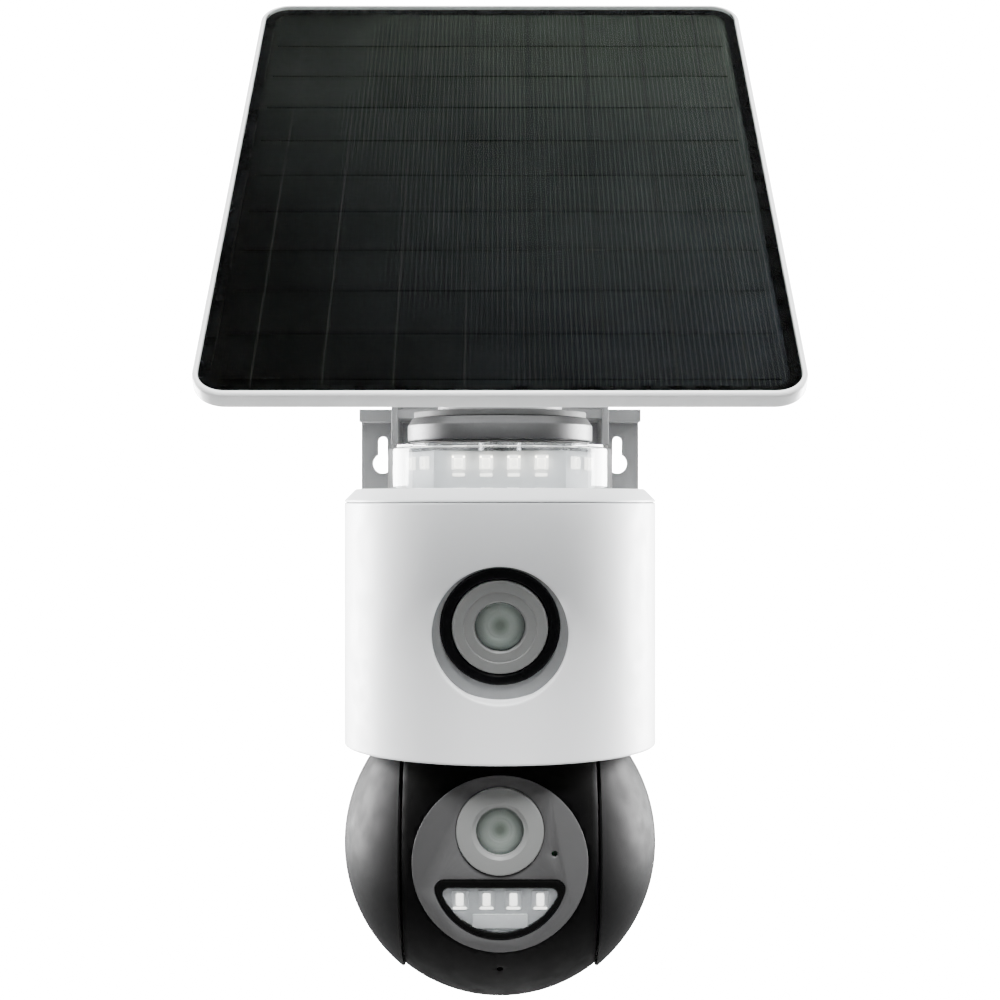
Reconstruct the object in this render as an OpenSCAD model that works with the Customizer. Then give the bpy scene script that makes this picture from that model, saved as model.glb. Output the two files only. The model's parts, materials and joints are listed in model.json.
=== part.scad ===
// Wall-mounted solar security camera with a tilting panel and a pan-and-tilt ball head.
// Origin: wall face of the bracket, midway between the two keyholes. Front faces -Y, up is +Z.

/* [Wall bracket] */
// Width of the wall plate
plate_w = 100; // [84:1:130]
// Thickness of the wall plate
plate_t = 4; // [2.5:0.5:6]
// Height of the plate above the keyholes
plate_up = 19; // [14:0.5:26]
// Depth of the plate below the keyholes
plate_down = 42; // [14:1:60]
// Distance between the keyholes
keyhole_pitch = 84.8; // [70:0.1:90]
// Radius of a keyhole's round entry
keyhole_r = 3.6; // [2.5:0.1:5]
// Half width of a keyhole's slot
keyhole_slot_r = 1.75; // [1:0.05:2.5]
// Rise of the slot above the round entry
keyhole_rise = 8; // [5:0.5:9]
// How far the top lip stands forward of the plate
lip_depth = 10; // [6:0.5:16]
// Thickness of the top lip
lip_t = 4.4; // [2:0.1:6]
// Gap between the two cheeks
cheek_gap = 70.4; // [66:0.1:76]
// Thickness of a cheek
cheek_t = 2.1; // [1.5:0.1:4]
// Thickness of the shelf that carries the camera
shelf_t = 3; // [2:0.5:5]

/* [Camera stack] */
// Distance from the wall to the camera's upright axis
axis_out = 67; // [64:0.5:80]
// Drop from the keyholes to the top of the housing
housing_drop = 9.7; // [8:0.1:20]
// Radius of the clear light ring
ring_r = 36.2; // [34:0.1:40]
// Height of the clear light ring
ring_h = 13.1; // [11:0.1:18]
// Wall of the clear light ring
ring_wall = 2.4; // [1.5:0.1:3]
// Radius of the cap disc
cap_r = 29.7; // [26:0.1:33]
// Height of the cap disc
cap_h = 7.6; // [6:0.1:12]
// Radius of the hollow stem
stem_r = 7; // [5:0.5:9]

/* [Housing] */
// Half width of the housing, also the radius of its round front
housing_r = 50; // [47:0.5:56]
// Depth of the straight sides behind the upright axis
housing_back = 50; // [48:1:56]
// Height of the housing
housing_h = 81.5; // [80:0.5:98]
// Height of the chamfered lid
lid_h = 4; // [3:0.5:6]
// Wall of the housing
housing_wall = 2.5; // [2:0.1:3]

/* [Upper lens] */
// Depth of the upper lens's centre below the top of the housing
lens_drop = 41; // [38:0.5:44]
// Downward tilt of the upper lens
lens_tilt = 10; // [0:1:14]
// Outer radius of the black lens ring
lens_ring_r = 17.8; // [14.8:0.1:19]
// Width of the black ring around the grey disc
lens_ring_w = 3.5; // [2:0.1:4.5]
// Radius of the glass of both lenses
glass_r = 7.4; // [5:0.1:8]

/* [Ball head] */
// Radius of the ball
ball_r = 50; // [47:0.5:51]
// Width of the tilting band between the two side covers
band_w = 58.8; // [56:0.1:60]
// Wall of the ball's shells
ball_wall = 2; // [1.5:0.1:2.5]
// Depth of the ball's centre below the bottom of the housing
ball_drop = 30.3; // [29:0.1:34]
// Radius of the flat face plate
face_r = 26.3; // [24:0.1:27]
// Upward tilt of the face plate at rest
face_tilt = 0; // [0:0.5:4]

/* [Solar panel] */
// Width of the panel across its frame
panel_w = 170; // [150:1:200]
// Length of the panel along its slope
panel_l = 209; // [174:1:220]
// Thickness of the panel's frame
panel_t = 5.2; // [5:0.1:10]
// Slope of the panel at rest
panel_slope = 45.7; // [40:0.1:60]
// Gap between the wall and the panel's upper edge
panel_wall_gap = 3; // [2:0.5:20]
// Distance from the hinge to the panel's back
hinge_drop = 20; // [16:0.5:24]
// Number of cell strips
cell_rows = 10; // [6:1:12]
// Radius of the hinge pin
pin_r = 4; // [3:0.5:5]

/* [Hidden] */
$fn = 96;

// Clearances
fit_gap = 0.2;       // between parts that are fixed together
move_gap = 0.4;      // between parts that move past each other
running_gap = 0.05;  // radial gap of a shaft in its bore

// Heights of the camera stack, from the keyholes
axis_y = -axis_out;
housing_top = -housing_drop;
housing_bottom = housing_top - housing_h;
lid_bottom = housing_top - lid_h;
ring_top = housing_top + ring_h;
ring_lip = 1;
seal_t = 0.9;
cap_bottom = ring_top + ring_lip + seal_t;
cap_top = cap_bottom + cap_h;
pad_t = 2;
shelf_bottom = cap_top + pad_t;
shelf_top = shelf_bottom + shelf_t;
shelf_r = 20;
back_top = shelf_top + 22;
cheek_low = 6;

// Ball head
ball_z = housing_bottom - ball_drop;
band_r = ball_r - 0.4;
wall_x = band_w / 2 + 0.8;
yoke_wall = 2.8;
cover_x = wall_x + yoke_wall;
band_wall = 2.2;
bridge_bottom = ball_z + band_r + 0.8;
bridge_t = 3.2;
cup_r = sqrt(pow(ball_r, 2) - pow(ball_drop, 2)) + 1.6;
cup_wall = 1.8;
cup_floor = bridge_bottom + bridge_t + move_gap;
cup_floor_t = 2.5;
shaft_r = 7;
shaft_bore = 4.5;
bush_wall = 2;
arm_w = 26;
bridge_r = sqrt(pow(cover_x, 2) + pow(arm_w / 2, 2)) + 0.4;
neck_r = bridge_r + 0.7;
neck_wall = 1.5;
neck_low = ball_z + ball_r - 12;
neck_high = neck_low + 5;

// Gears
tooth = 0.75;
pan_teeth = 48;
pan_pinion_teeth = 12;
tilt_teeth = 32;
tilt_pinion_teeth = 12;
pan_centre = tooth * (pan_teeth + pan_pinion_teeth) / 2;
tilt_centre = tooth * (tilt_teeth + tilt_pinion_teeth) / 2;
gear_t = 3.6;
gear_z = cup_floor + cup_floor_t + move_gap;
motor_shaft_r = 1.5;
tilt_gear_x = cover_x + move_gap;
tilt_gear_t = 2.6;

// Panel
panel_y = -panel_wall_gap - panel_l * cos(panel_slope);
hinge_y = panel_y + panel_l / 2 * cos(panel_slope) + hinge_drop * sin(panel_slope);
panel_z = 11.9;
hinge_z = panel_z + panel_l / 2 * sin(panel_slope) - hinge_drop * cos(panel_slope);
frame_lip = 1.8;
panel_corner = 10;
glass_t = 1.6;
glass_sink = 0.2;
frame_wall = 4.5;
back_t = 1.4;
board_t = 0.8;
cell_t = 0.3;
cell_margin = 3;
cell_z = panel_t - glass_t - glass_sink - cell_t - 0.1;

// Lens places
lens_disc_r = lens_ring_r - lens_ring_w;
lens_z = housing_top - lens_drop;
lens_sink = 1.5;
lens_y = axis_y - housing_r + lens_sink + lens_ring_r * sin(lens_tilt);
recess_drop = 2.5;
recess_r = lens_ring_r + recess_drop - 0.1;
disc_gap = 0.1;
ring_depth = 3;
ring_seat = ring_depth + fit_gap;
boss_wall = 5.5;
boss_low = housing_bottom + 13;
barrel_hole_r = 12.2;
face_out = sqrt(pow(band_r, 2) - pow(face_r, 2)) + 0.2;

// Service opening in the right side of the rear shell
flap_y = axis_y + 28;
flap_z = housing_top - 46;
flap_w = 30;
flap_h = 20;
flap_t = 1.8;

// Battery
cell_r = 9.2;
cell_len = 65;
cell_pitch = 18.8;
cell_back = axis_y + housing_back - housing_wall - cell_r - 0.8;
tray_t = 1;
tray_z = lid_bottom - 2 * cell_r - 1.6 - tray_t;
main_board_t = 1.6;
main_board_z = tray_z - 1.2 - main_board_t;
part_split = axis_y + 8;

// ---------- outlines ----------

// Rectangle with round corners, centred on the origin
module round_rect(w, h, r) {
  square([w - 2 * r, h], center = true);
  square([w, h - 2 * r], center = true);
  for (sx = [-1, 1], sy = [-1, 1])
    translate([sx * (w / 2 - r), sy * (h / 2 - r)]) circle(r = r);
}

// Housing outline from above: a round front and straight sides, drawn in by an inset
module housing_outline(inset) {
  r = housing_r - inset;
  back = housing_back - inset;
  corner = 10;
  translate([0, axis_y]) {
    circle(r = r);
    translate([-r, 0]) square([2 * r, back - corner]);
    translate([-r + corner, 0]) square([2 * r - 2 * corner, back]);
    for (side = [-1, 1]) translate([side * (r - corner), back - corner]) circle(r = corner);
  }
}

// Point on an involute of a base circle at an unwinding angle
function involute(base, a) =
  [base * (cos(a) + a * PI / 180 * sin(a)), base * (sin(a) - a * PI / 180 * cos(a))];
// Unwinding angle at which the involute reaches a radius
function unwind(base, r) = sqrt(max(0, pow(r / base, 2) - 1)) * 180 / PI;
function turn(p, a) = [p[0] * cos(a) - p[1] * sin(a), p[0] * sin(a) + p[1] * cos(a)];

// Spur gear outline with its first tooth centred on +X
module gear_outline(teeth) {
  pitch = tooth * teeth / 2;
  base = pitch * cos(20);
  tip = pitch + 0.85 * tooth;
  root = pitch - 1.15 * tooth;
  start = max(base, root);
  half = 90 / teeth - 3.4 / pitch;
  lean = atan2(involute(base, unwind(base, pitch))[1], involute(base, unwind(base, pitch))[0]);
  steps = 3;
  flank = [for (i = [0:steps]) let (r = start + (tip - start) * i / steps)
    turn(involute(base, unwind(base, r)), -lean - half)];
  low = turn([root, 0], atan2(flank[0][1], flank[0][0]));
  polygon([for (t = [0:teeth - 1]) let (a = 360 / teeth * t)
    each concat([turn(low, a)], [for (p = flank) turn(p, a)],
      [for (i = [steps:-1:0]) turn([flank[i][0], -flank[i][1]], a)],
      [turn([low[0], -low[1]], a)])]);
}

// ---------- frames of reference ----------

module on_axis(z) translate([0, axis_y, z]) children();
module in_panel() translate([0, panel_y, panel_z]) rotate([panel_slope, 0, 0]) children();
module in_hinge() translate([0, hinge_y, hinge_z]) children();
// Local +Z points out of the upper lens, local +Y points up
module in_lens() translate([0, lens_y, lens_z]) rotate([90 + lens_tilt, 0, 0]) children();
// Local +Z points out of the face plate, local +Y points up
module in_face() translate([0, axis_y, ball_z]) rotate([90 - face_tilt, 0, 0]) children();
module in_ball() translate([0, axis_y, ball_z]) children();
module along_x(x) translate([x, 0, 0]) rotate([0, 90, 0]) children();

module ring_solid(r_out, r_in, h) {
  difference() {
    cylinder(r = r_out, h = h);
    translate([0, 0, -1]) cylinder(r = r_in, h = h + 2);
  }
}

// Cap screw with its head's underside at the origin and its shank down
module screw(r, shank, head_h) {
  translate([0, 0, -shank]) cylinder(r = r, h = shank, $fn = 32);
  difference() {
    cylinder(r = 1.8 * r, h = head_h, $fn = 32);
    translate([0, 0, head_h / 2]) cylinder(r = r, h = head_h, $fn = 6);
  }
}

// ---------- wall bracket ----------

module keyhole() {
  circle(r = keyhole_r);
  translate([0, keyhole_rise]) circle(r = keyhole_slot_r);
  translate([-keyhole_slot_r, 0]) square([2 * keyhole_slot_r, keyhole_rise]);
}

// Side view of a cheek, Y across and Z up
module cheek_outline() {
  boss = 10;
  foot = -axis_out + 34;
  difference() {
    union() {
      polygon([[-plate_t / 2, cheek_low], [foot, cheek_low], [foot, shelf_top + 6],
        [hinge_y - boss * 0.85, hinge_z - boss * 0.1],
        [hinge_y + boss * 0.5, hinge_z + boss * 0.6], [-plate_t / 2, back_top]]);
      translate([hinge_y, hinge_z]) circle(r = boss);
    }
    translate([hinge_y, hinge_z]) circle(r = pin_r);
  }
}

module wall_bracket() {
  color("darkgray") {
    difference() {
      union() {
        rotate([90, 0, 0]) linear_extrude(plate_t)
          translate([0, (plate_up - plate_down) / 2]) round_rect(plate_w, plate_up + plate_down, 3);
        translate([-plate_w / 2, -plate_t - lip_depth, plate_up - lip_t])
          cube([plate_w, lip_depth + plate_t, lip_t]);
        translate([-cheek_gap / 2 - cheek_t, -plate_t, plate_up - 1])
          cube([cheek_gap + 2 * cheek_t, plate_t, back_top - plate_up + 1]);
        translate([-cheek_gap / 2 - cheek_t / 2, axis_y + 36, shelf_bottom])
          cube([cheek_gap + cheek_t, axis_out - 36 - plate_t / 2, shelf_t]);
        translate([-shelf_r, axis_y, shelf_bottom]) cube([2 * shelf_r, axis_out - plate_t / 2, shelf_t]);
        on_axis(shelf_bottom) cylinder(r = shelf_r, h = shelf_t);
        for (x = [-cheek_gap / 2 - cheek_t, cheek_gap / 2])
          translate([x, 0, 0]) rotate([90, 0, 90]) linear_extrude(cheek_t) cheek_outline();
      }
      for (side = [-1, 1]) translate([side * keyhole_pitch / 2, 0.5, 0])
        rotate([90, 0, 0]) linear_extrude(plate_t + 1) keyhole();
      on_axis(shelf_bottom - 1) cylinder(r = stem_r + fit_gap, h = shelf_t + 2);
    }
  }
}

// ---------- panel and its hinge ----------

module hinge_pin() {
  half = cheek_gap / 2 + cheek_t;
  color("silver") in_hinge() {
    along_x(-half) cylinder(r = pin_r, h = 2 * half + 12);
    along_x(-half - 4) cylinder(r = 7, h = 4, $fn = 6);
  }
}

module clamp_knob() {
  color("dimgray") in_hinge() along_x(cheek_gap / 2 + cheek_t + move_gap)
    difference() {
      union() {
        cylinder(r = 8, h = 10);
        for (a = [0:60:300]) rotate(a) translate([8, 0, 2]) cylinder(r = 2.2, h = 8, $fn = 32);
      }
      translate([0, 0, -1]) cylinder(r = pin_r + running_gap, h = 12);
    }
}

module panel_outline(inset, r) {
  translate([0, panel_l / 2]) round_rect(panel_w - 2 * inset, panel_l - 2 * inset, r);
}

module panel_frame() {
  color("whitesmoke") in_panel() difference() {
    linear_extrude(panel_t) panel_outline(0, panel_corner);
    translate([0, 0, panel_t - glass_t - glass_sink])
      linear_extrude(panel_t) panel_outline(frame_lip - fit_gap, panel_corner - frame_lip);
    translate([0, 0, -1]) linear_extrude(panel_t) panel_outline(frame_wall, panel_corner - frame_wall);
  }
}

module panel_glass() {
  color([0.1, 0.12, 0.14, 0.5]) in_panel() translate([0, 0, panel_t - glass_t - glass_sink])
    linear_extrude(glass_t) panel_outline(frame_lip, panel_corner - frame_lip - fit_gap);
}

module solar_cells() {
  area_l = panel_l - 2 * frame_wall - 2 * cell_margin;
  area_w = panel_w - 2 * frame_wall - 2 * cell_margin;
  pitch = area_l / cell_rows;
  color("black") in_panel() for (row = [0:cell_rows - 1])
    translate([-area_w / 2, frame_wall + cell_margin + row * pitch + 0.4, cell_z])
      cube([area_w, pitch - 0.8, cell_t]);
}

module cell_board() {
  color("black") in_panel() translate([0, 0, cell_z - board_t])
    linear_extrude(board_t) panel_outline(frame_wall + fit_gap, panel_corner - frame_wall);
}

module panel_back() {
  color("whitesmoke") in_panel()
    linear_extrude(back_t) panel_outline(frame_wall + fit_gap, panel_corner - frame_wall);
}

lug_base_w = 66;
lug_base_l = 44;
lug_base_t = 3;
ear_t = 4.6;
ear_x = cheek_gap / 2 - move_gap;

module hinge_lug() {
  color("darkgray") in_panel() difference() {
    union() {
      translate([0, panel_l / 2, -lug_base_t]) linear_extrude(lug_base_t)
        round_rect(lug_base_w, lug_base_l, 4);
      for (side = [-1, 1]) translate([side * (ear_x - ear_t / 2) - ear_t / 2, panel_l / 2, 0])
        rotate([90, 0, 90]) linear_extrude(ear_t) {
          translate([0, -hinge_drop]) circle(r = 9);
          polygon([[-9, -hinge_drop], [9, -hinge_drop], [16, -0.5], [-16, -0.5]]);
        }
    }
    translate([0, panel_l / 2, -hinge_drop]) along_x(-60) cylinder(r = pin_r + running_gap, h = 120);
    for (sx = [-1, 1], sy = [-1, 1]) translate([sx * 20, panel_l / 2 + sy * 15, -lug_base_t - 1])
      cylinder(r = 1.7, h = lug_base_t + 2);
  }
}

module lug_screws() {
  color("silver") in_panel() for (sx = [-1, 1], sy = [-1, 1])
    translate([sx * 20, panel_l / 2 + sy * 15, -lug_base_t]) rotate([180, 0, 0])
      screw(1.5, lug_base_t - 0.1, 1.8);
}

module junction_box() {
  color("dimgray") in_panel() translate([0, panel_l * 0.72, -6]) difference() {
    translate([-17, -12, 0]) cube([34, 24, 6 - 0.05]);
    translate([-15, -10, 1.5]) cube([30, 20, 6]);
    translate([0, -11, 3.5]) rotate([90, 0, 0]) cylinder(r = 1.6, h = 6, center = true);
  }
}

// ---------- cap, light ring and stem ----------

module cap_pad() {
  color("black") on_axis(cap_top) ring_solid(cap_r - 2, stem_r + fit_gap, pad_t);
}

module cap_disc() {
  bevel = 1.5;
  color("darkgray") on_axis(cap_bottom) rotate_extrude() difference() {
    polygon([[stem_r + fit_gap, 0], [cap_r, 0], [cap_r, cap_h - 1.6 * bevel],
      [cap_r - bevel, cap_h], [stem_r + fit_gap, cap_h]]);
    translate([stem_r + 4, -1]) square([cap_r - stem_r - 7, cap_h - 2]);
  }
}

module cap_seal() {
  color("black") on_axis(cap_bottom - seal_t) ring_solid(cap_r - 0.7, cap_r - 4, seal_t);
}

module clear_ring() {
  color([0.9, 0.95, 1, 0.35]) on_axis(housing_top) rotate_extrude()
    polygon([[ring_r - ring_wall, 0], [ring_r, 0], [ring_r, ring_h - 0.8],
      [ring_r - 0.8, ring_h], [ring_r - 1.3, ring_h], [ring_r - 1.3, ring_h + ring_lip],
      [cap_r - 5, ring_h + ring_lip], [cap_r - 5, ring_h - 0.6], [ring_r - ring_wall, ring_h - 0.6]]);
}

carrier_front = 20;
carrier_gap = 3.6;
carrier_side = ring_r - ring_wall - carrier_gap;
carrier_y = sqrt(pow(carrier_side - 0.84, 2) - pow(carrier_front, 2));

// Faceted outline of the light carrier, wide at the front and back
module carrier_outline(inset) {
  f = carrier_front - inset * 0.6;
  s = carrier_side - inset;
  y = carrier_y - inset;
  polygon([[f, -y], [s, -5], [s, 5], [f, y], [-f, y], [-s, 5], [-s, -5], [-f, -y]]);
}

module led_carrier() {
  color("white") on_axis(housing_top + 0.1) {
    difference() {
      linear_extrude(ring_h - 1.4) carrier_outline(0);
      translate([0, 0, -1]) linear_extrude(ring_h + 2) carrier_outline(1.6);
    }
    difference() {
      linear_extrude(1) carrier_outline(1.4);
      translate([0, 0, -1]) cylinder(r = stem_r + 2.5, h = 3);
    }
  }
}

led_w = 3.6;
led_t = 1.1;

// One light on its small base, facing -Y
module led_piece() {
  translate([-led_w / 2, -led_t, -led_w / 2]) cube([led_w, led_t, led_w]);
  translate([0, -led_t + 0.01, 0]) rotate([90, 0, 0]) cylinder(r = led_w * 0.36, h = 0.5, $fn = 32);
}

module ring_leds() {
  side_run = [carrier_side - carrier_front, carrier_y - 5];
  side_angle = atan2(side_run[1], side_run[0]);
  color("lightyellow") on_axis(housing_top + 8.2) for (flip = [0, 1]) mirror([0, flip, 0]) {
    for (x = [-1.5, -0.5, 0.5, 1.5]) translate([x * 8.4, -carrier_y - 0.01, 0]) led_piece();
    for (side = [0, 1]) mirror([side, 0, 0]) for (along = [0.26, 0.72])
      translate([carrier_front + side_run[0] * along, -carrier_y + side_run[1] * along, 0])
        rotate(side_angle) translate([0, -0.01, 0]) led_piece();
  }
}

nut_h = 4;
nut_r = 11;

module stem_tube() {
  low = lid_bottom - nut_h - 0.4;
  color("silver") on_axis(low) ring_solid(stem_r, stem_r - 2, shelf_top + nut_h + 1 - low);
}

module stem_nuts() {
  color("silver") {
    on_axis(shelf_top) difference() {
      cylinder(r = nut_r, h = nut_h, $fn = 6);
      translate([0, 0, -1]) cylinder(r = stem_r + 0.02, h = nut_h + 2);
    }
    on_axis(lid_bottom - nut_h) difference() {
      cylinder(r = nut_r, h = nut_h, $fn = 6);
      translate([0, 0, -1]) cylinder(r = stem_r + 0.02, h = nut_h + 2);
    }
  }
}

// ---------- housing ----------

module body_lid() {
  color("white") difference() {
    hull() {
      translate([0, 0, housing_top - 0.01]) linear_extrude(0.01) housing_outline(lid_h);
      translate([0, 0, lid_bottom]) linear_extrude(0.01) housing_outline(0);
    }
    on_axis(lid_bottom - 1) cylinder(r = stem_r + fit_gap, h = lid_h + 2);
  }
}

lid_seal_t = 0.3;

module lid_seal() {
  color("black") translate([0, 0, lid_bottom - lid_seal_t]) linear_extrude(lid_seal_t) difference() {
    housing_outline(0.6);
    housing_outline(housing_wall);
  }
}

shell_top = lid_bottom - lid_seal_t;

// Hollow housing with an open top and a round opening in its floor
module whole_shell() {
  difference() {
    translate([0, 0, housing_bottom]) linear_extrude(shell_top - housing_bottom) housing_outline(0);
    translate([0, 0, housing_bottom + housing_wall])
      linear_extrude(housing_h) housing_outline(housing_wall);
    on_axis(housing_bottom - 1) cylinder(r = cup_r + cup_wall + fit_gap, h = 20);
  }
}

module front_half() translate([-100, -300 + part_split, -200]) cube([200, 300, 300]);
module rear_half() translate([-100, part_split, -200]) cube([200, 300, 300]);

module front_shell() {
  boss_r = recess_r + boss_wall;
  neck_hole_r = neck_r + neck_wall + fit_gap;
  neck_hole_h = cup_floor + cup_floor_t + fit_gap - housing_bottom;
  color("white") difference() {
    union() {
      intersection() { whole_shell(); front_half(); }
      intersection() {
        translate([0, 0, boss_low]) linear_extrude(housing_h) housing_outline(0.5);
        in_lens() translate([0, 0, -ring_seat - 0.6]) cylinder(r = boss_r, h = 30);
      }
    }
    intersection() {
      translate([0, axis_y, lens_z - recess_drop]) rotate([90, 0, 0]) cylinder(r = recess_r, h = 80);
      in_lens() translate([-40, -40, 0]) cube([80, 80, 40]);
    }
    in_lens() translate([0, 0, -ring_seat]) cylinder(r = lens_ring_r + fit_gap, h = 5);
    in_lens() translate([0, 0, -ring_seat - 4]) cylinder(r = barrel_hole_r, h = 5);
    on_axis(housing_bottom) cylinder(r = neck_hole_r, h = neck_hole_h);
  }
}

screw_drop = 33;

module rear_shell() {
  color("white") difference() {
    intersection() { whole_shell(); rear_half(); }
    translate([housing_r - 4, flap_y - flap_w / 2 - 0.3, flap_z - flap_h / 2 - 0.5])
      cube([8, flap_w + 0.6, flap_h + 0.8]);
    for (row = [-2:2], col = [-2:2]) if (abs(row) + abs(col) < 4)
      translate([-24 + col * 3.6, axis_y + housing_back - 4, speaker_z + row * 3.6])
        rotate([-90, 0, 0]) cylinder(r = 1, h = 8, $fn = 24);
    for (side = [-1, 1]) translate([side * 33, axis_y + housing_back - 4, housing_top - screw_drop])
      rotate([-90, 0, 0]) cylinder(r = 1.9, h = 8, $fn = 32);
  }
}

module shell_screws() {
  color("silver") for (side = [-1, 1])
    translate([side * 33, axis_y + housing_back + 0.05, housing_top - screw_drop]) rotate([-90, 0, 0])
      screw(1.5, 8, 1.6);
}

module socket_cup() {
  color("black") {
    on_axis(0) rotate_extrude() polygon([
      [cup_r, housing_bottom + 0.3], [cup_r + cup_wall, housing_bottom + 0.3],
      [cup_r + cup_wall, neck_low], [neck_r + neck_wall, neck_high],
      [neck_r + neck_wall, cup_floor + cup_floor_t], [shaft_r + bush_wall, cup_floor + cup_floor_t],
      [shaft_r + bush_wall, cup_floor], [neck_r, cup_floor], [neck_r, neck_high], [cup_r, neck_low]]);
    for (side = [-1, 1]) translate([side * 13, axis_y + pan_centre, cup_floor + cup_floor_t - 0.1])
      cylinder(r = 2, h = gear_t + 3, $fn = 32);
  }
}

// ---------- upper lens ----------

module lens_ring() {
  color("black") in_lens() translate([0, 0, -ring_depth]) rotate_extrude()
    polygon([[lens_disc_r, 0], [lens_ring_r, 0], [lens_ring_r, ring_depth + 0.1],
      [lens_ring_r - 0.8, ring_depth + 1], [lens_disc_r + 1.2, ring_depth + 1], [lens_disc_r, ring_depth]]);
}

module lens_disc() {
  color("gray") in_lens() translate([0, 0, -2.4])
    ring_solid(lens_disc_r - disc_gap, glass_r + disc_gap, 3.4);
}

// Glass lens with a domed front; its rim is at the origin
module dome_lens(r, rise, depth) {
  curve = (r * r + rise * rise) / (2 * rise);
  translate([0, 0, -depth]) cylinder(r = r, h = depth);
  intersection() {
    translate([0, 0, rise - curve]) sphere(r = curve);
    translate([0, 0, -0.01]) cylinder(r = r, h = rise + 1);
  }
}

module upper_lens() {
  color([0.3, 0.35, 0.33, 0.8]) in_lens() translate([0, 0, 0.2]) dome_lens(glass_r, 1.2, 2.4);
}

barrel_r = 10.5;
barrel_len = 13;

module upper_barrel() {
  color("black") in_lens() translate([0, 0, -2.5 - barrel_len]) ring_solid(barrel_r, 7, barrel_len);
}

module sensor_plate() {
  difference() {
    translate([-13, -11, -1.6]) cube([26, 22, 1.6]);
    for (side = [-1, 1]) translate([side * 11, 0, -2]) cylinder(r = 1, h = 3, $fn = 24);
  }
  translate([-4.5, -4.5, -0.01]) cube([9, 9, 1]);
}

module upper_sensor_board() {
  color("green") in_lens() translate([0, 0, -3.6 - barrel_len]) sensor_plate();
}

// ---------- electronics ----------

module battery_cells() {
  color("steelblue") for (row = [0, 1])
    translate([0, cell_back - row * cell_pitch, tray_z + tray_t + cell_r + 0.1]) {
      along_x(-cell_len / 2) cylinder(r = cell_r, h = cell_len);
      along_x(cell_len / 2 - 0.01) cylinder(r = 2.8, h = 1.2, $fn = 32);
    }
}

module battery_tray() {
  y0 = cell_back - cell_pitch - cell_r - 0.4;
  depth = 2 * cell_r + cell_pitch + 0.8;
  color("dimgray") {
    translate([-cell_len / 2 - 4, y0, tray_z]) cube([cell_len + 8, depth, tray_t]);
    for (x = [-cell_len / 2 - 4, cell_len / 2 + 2]) translate([x, y0, tray_z]) cube([2, depth, 14]);
  }
}

main_board_w = 76;
main_board_l = 56;

module main_board() {
  color("green") translate([-main_board_w / 2, axis_y - 10, main_board_z])
    cube([main_board_w, main_board_l, main_board_t]);
}

module radio_module() {
  color("silver") translate([-30, axis_y - 4, main_board_z - 2.6]) cube([18, 16, 2.55]);
}

speaker_z = housing_top - 44;

module speaker() {
  color("black") translate([-24, axis_y + housing_back - housing_wall - 0.2, speaker_z])
    rotate([90, 0, 0]) {
      ring_solid(9.5, 7, 5);
      cylinder(r = 7.2, h = 2.4);
      translate([0, 0, 4.9]) cylinder(r = 5, h = 3);
    }
}

side_x = housing_r - housing_wall - 7.5;

module side_board() {
  color("green") translate([side_x - 1.6, flap_y - 16, flap_z - 9]) cube([1.6, 32, 18]);
}

module card_slot() {
  color("silver") translate([side_x, flap_y - 8, flap_z - 7.5]) difference() {
    cube([5.5, 13, 2.6]);
    translate([1.2, 0.9, 0.8]) cube([5.5, 11.2, 1]);
  }
}

module charge_socket() {
  color("silver") translate([side_x + 0.02, flap_y - 1.5, flap_z + 4]) rotate([90, 0, 90]) difference() {
    linear_extrude(5.4) round_rect(9, 3.4, 1.4);
    translate([0, 0, 1]) linear_extrude(6) round_rect(8, 2.4, 1);
  }
}

button_travel = 0.7;

module push_button(y, z) {
  translate([side_x + 1.2, y, z]) rotate([0, 90, 0]) {
    cylinder(r = 2.2, h = 4, $fn = 48);
    cylinder(r = 3, h = 1, $fn = 48);
  }
}

module power_button() color("red") push_button(flap_y + 10.5, flap_z + 4);
module reset_button() color("white") push_button(flap_y + 10.5, flap_z - 5);

flap_pin_r = 0.6;
flap_pin_z = flap_z - flap_h / 2 + flap_t / 2;
flap_x = housing_r - flap_t / 2;

module service_flap() {
  color("white") difference() {
    union() {
      translate([flap_x - flap_t / 2, flap_y - flap_w / 2, flap_pin_z])
        cube([flap_t, flap_w, flap_h - flap_t / 2]);
      translate([flap_x, flap_y - flap_w / 2, flap_pin_z]) rotate([-90, 0, 0])
        cylinder(r = flap_t / 2, h = flap_w, $fn = 48);
    }
    translate([flap_x, flap_y - 40, flap_pin_z]) rotate([-90, 0, 0])
      cylinder(r = flap_pin_r + running_gap, h = 80, $fn = 48);
    translate([housing_r - 0.6, flap_y - 5, flap_z + flap_h / 2 - 2.4]) cube([2, 10, 1]);
  }
}

module flap_pin() {
  color("silver") translate([flap_x, flap_y - flap_w / 2 - 0.25, flap_pin_z]) rotate([-90, 0, 0])
    cylinder(r = flap_pin_r, h = flap_w + 0.5, $fn = 48);
}

// ---------- pan drive ----------

motor_gap = 0.3;

module pan_motor() {
  z = gear_z + gear_t + motor_gap;
  color("silver") translate([0, axis_y + pan_centre, z]) difference() {
    union() {
      cylinder(r = 9.5, h = 13);
      translate([0, 0, 0]) linear_extrude(1) round_rect(32, 7, 3.4);
      translate([0, 0, -gear_t - 0.2]) cylinder(r = motor_shaft_r, h = gear_t + 1, $fn = 48);
    }
    for (side = [-1, 1]) translate([side * 13, 0, -1]) cylinder(r = 2 + fit_gap, h = 3, $fn = 32);
  }
}

module pan_pinion() {
  color("goldenrod") translate([0, axis_y + pan_centre, gear_z]) difference() {
    rotate(90 + 180 / pan_pinion_teeth) linear_extrude(gear_t) gear_outline(pan_pinion_teeth);
    translate([0, 0, -1]) cylinder(r = motor_shaft_r + running_gap, h = gear_t + 2, $fn = 48);
  }
}

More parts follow.
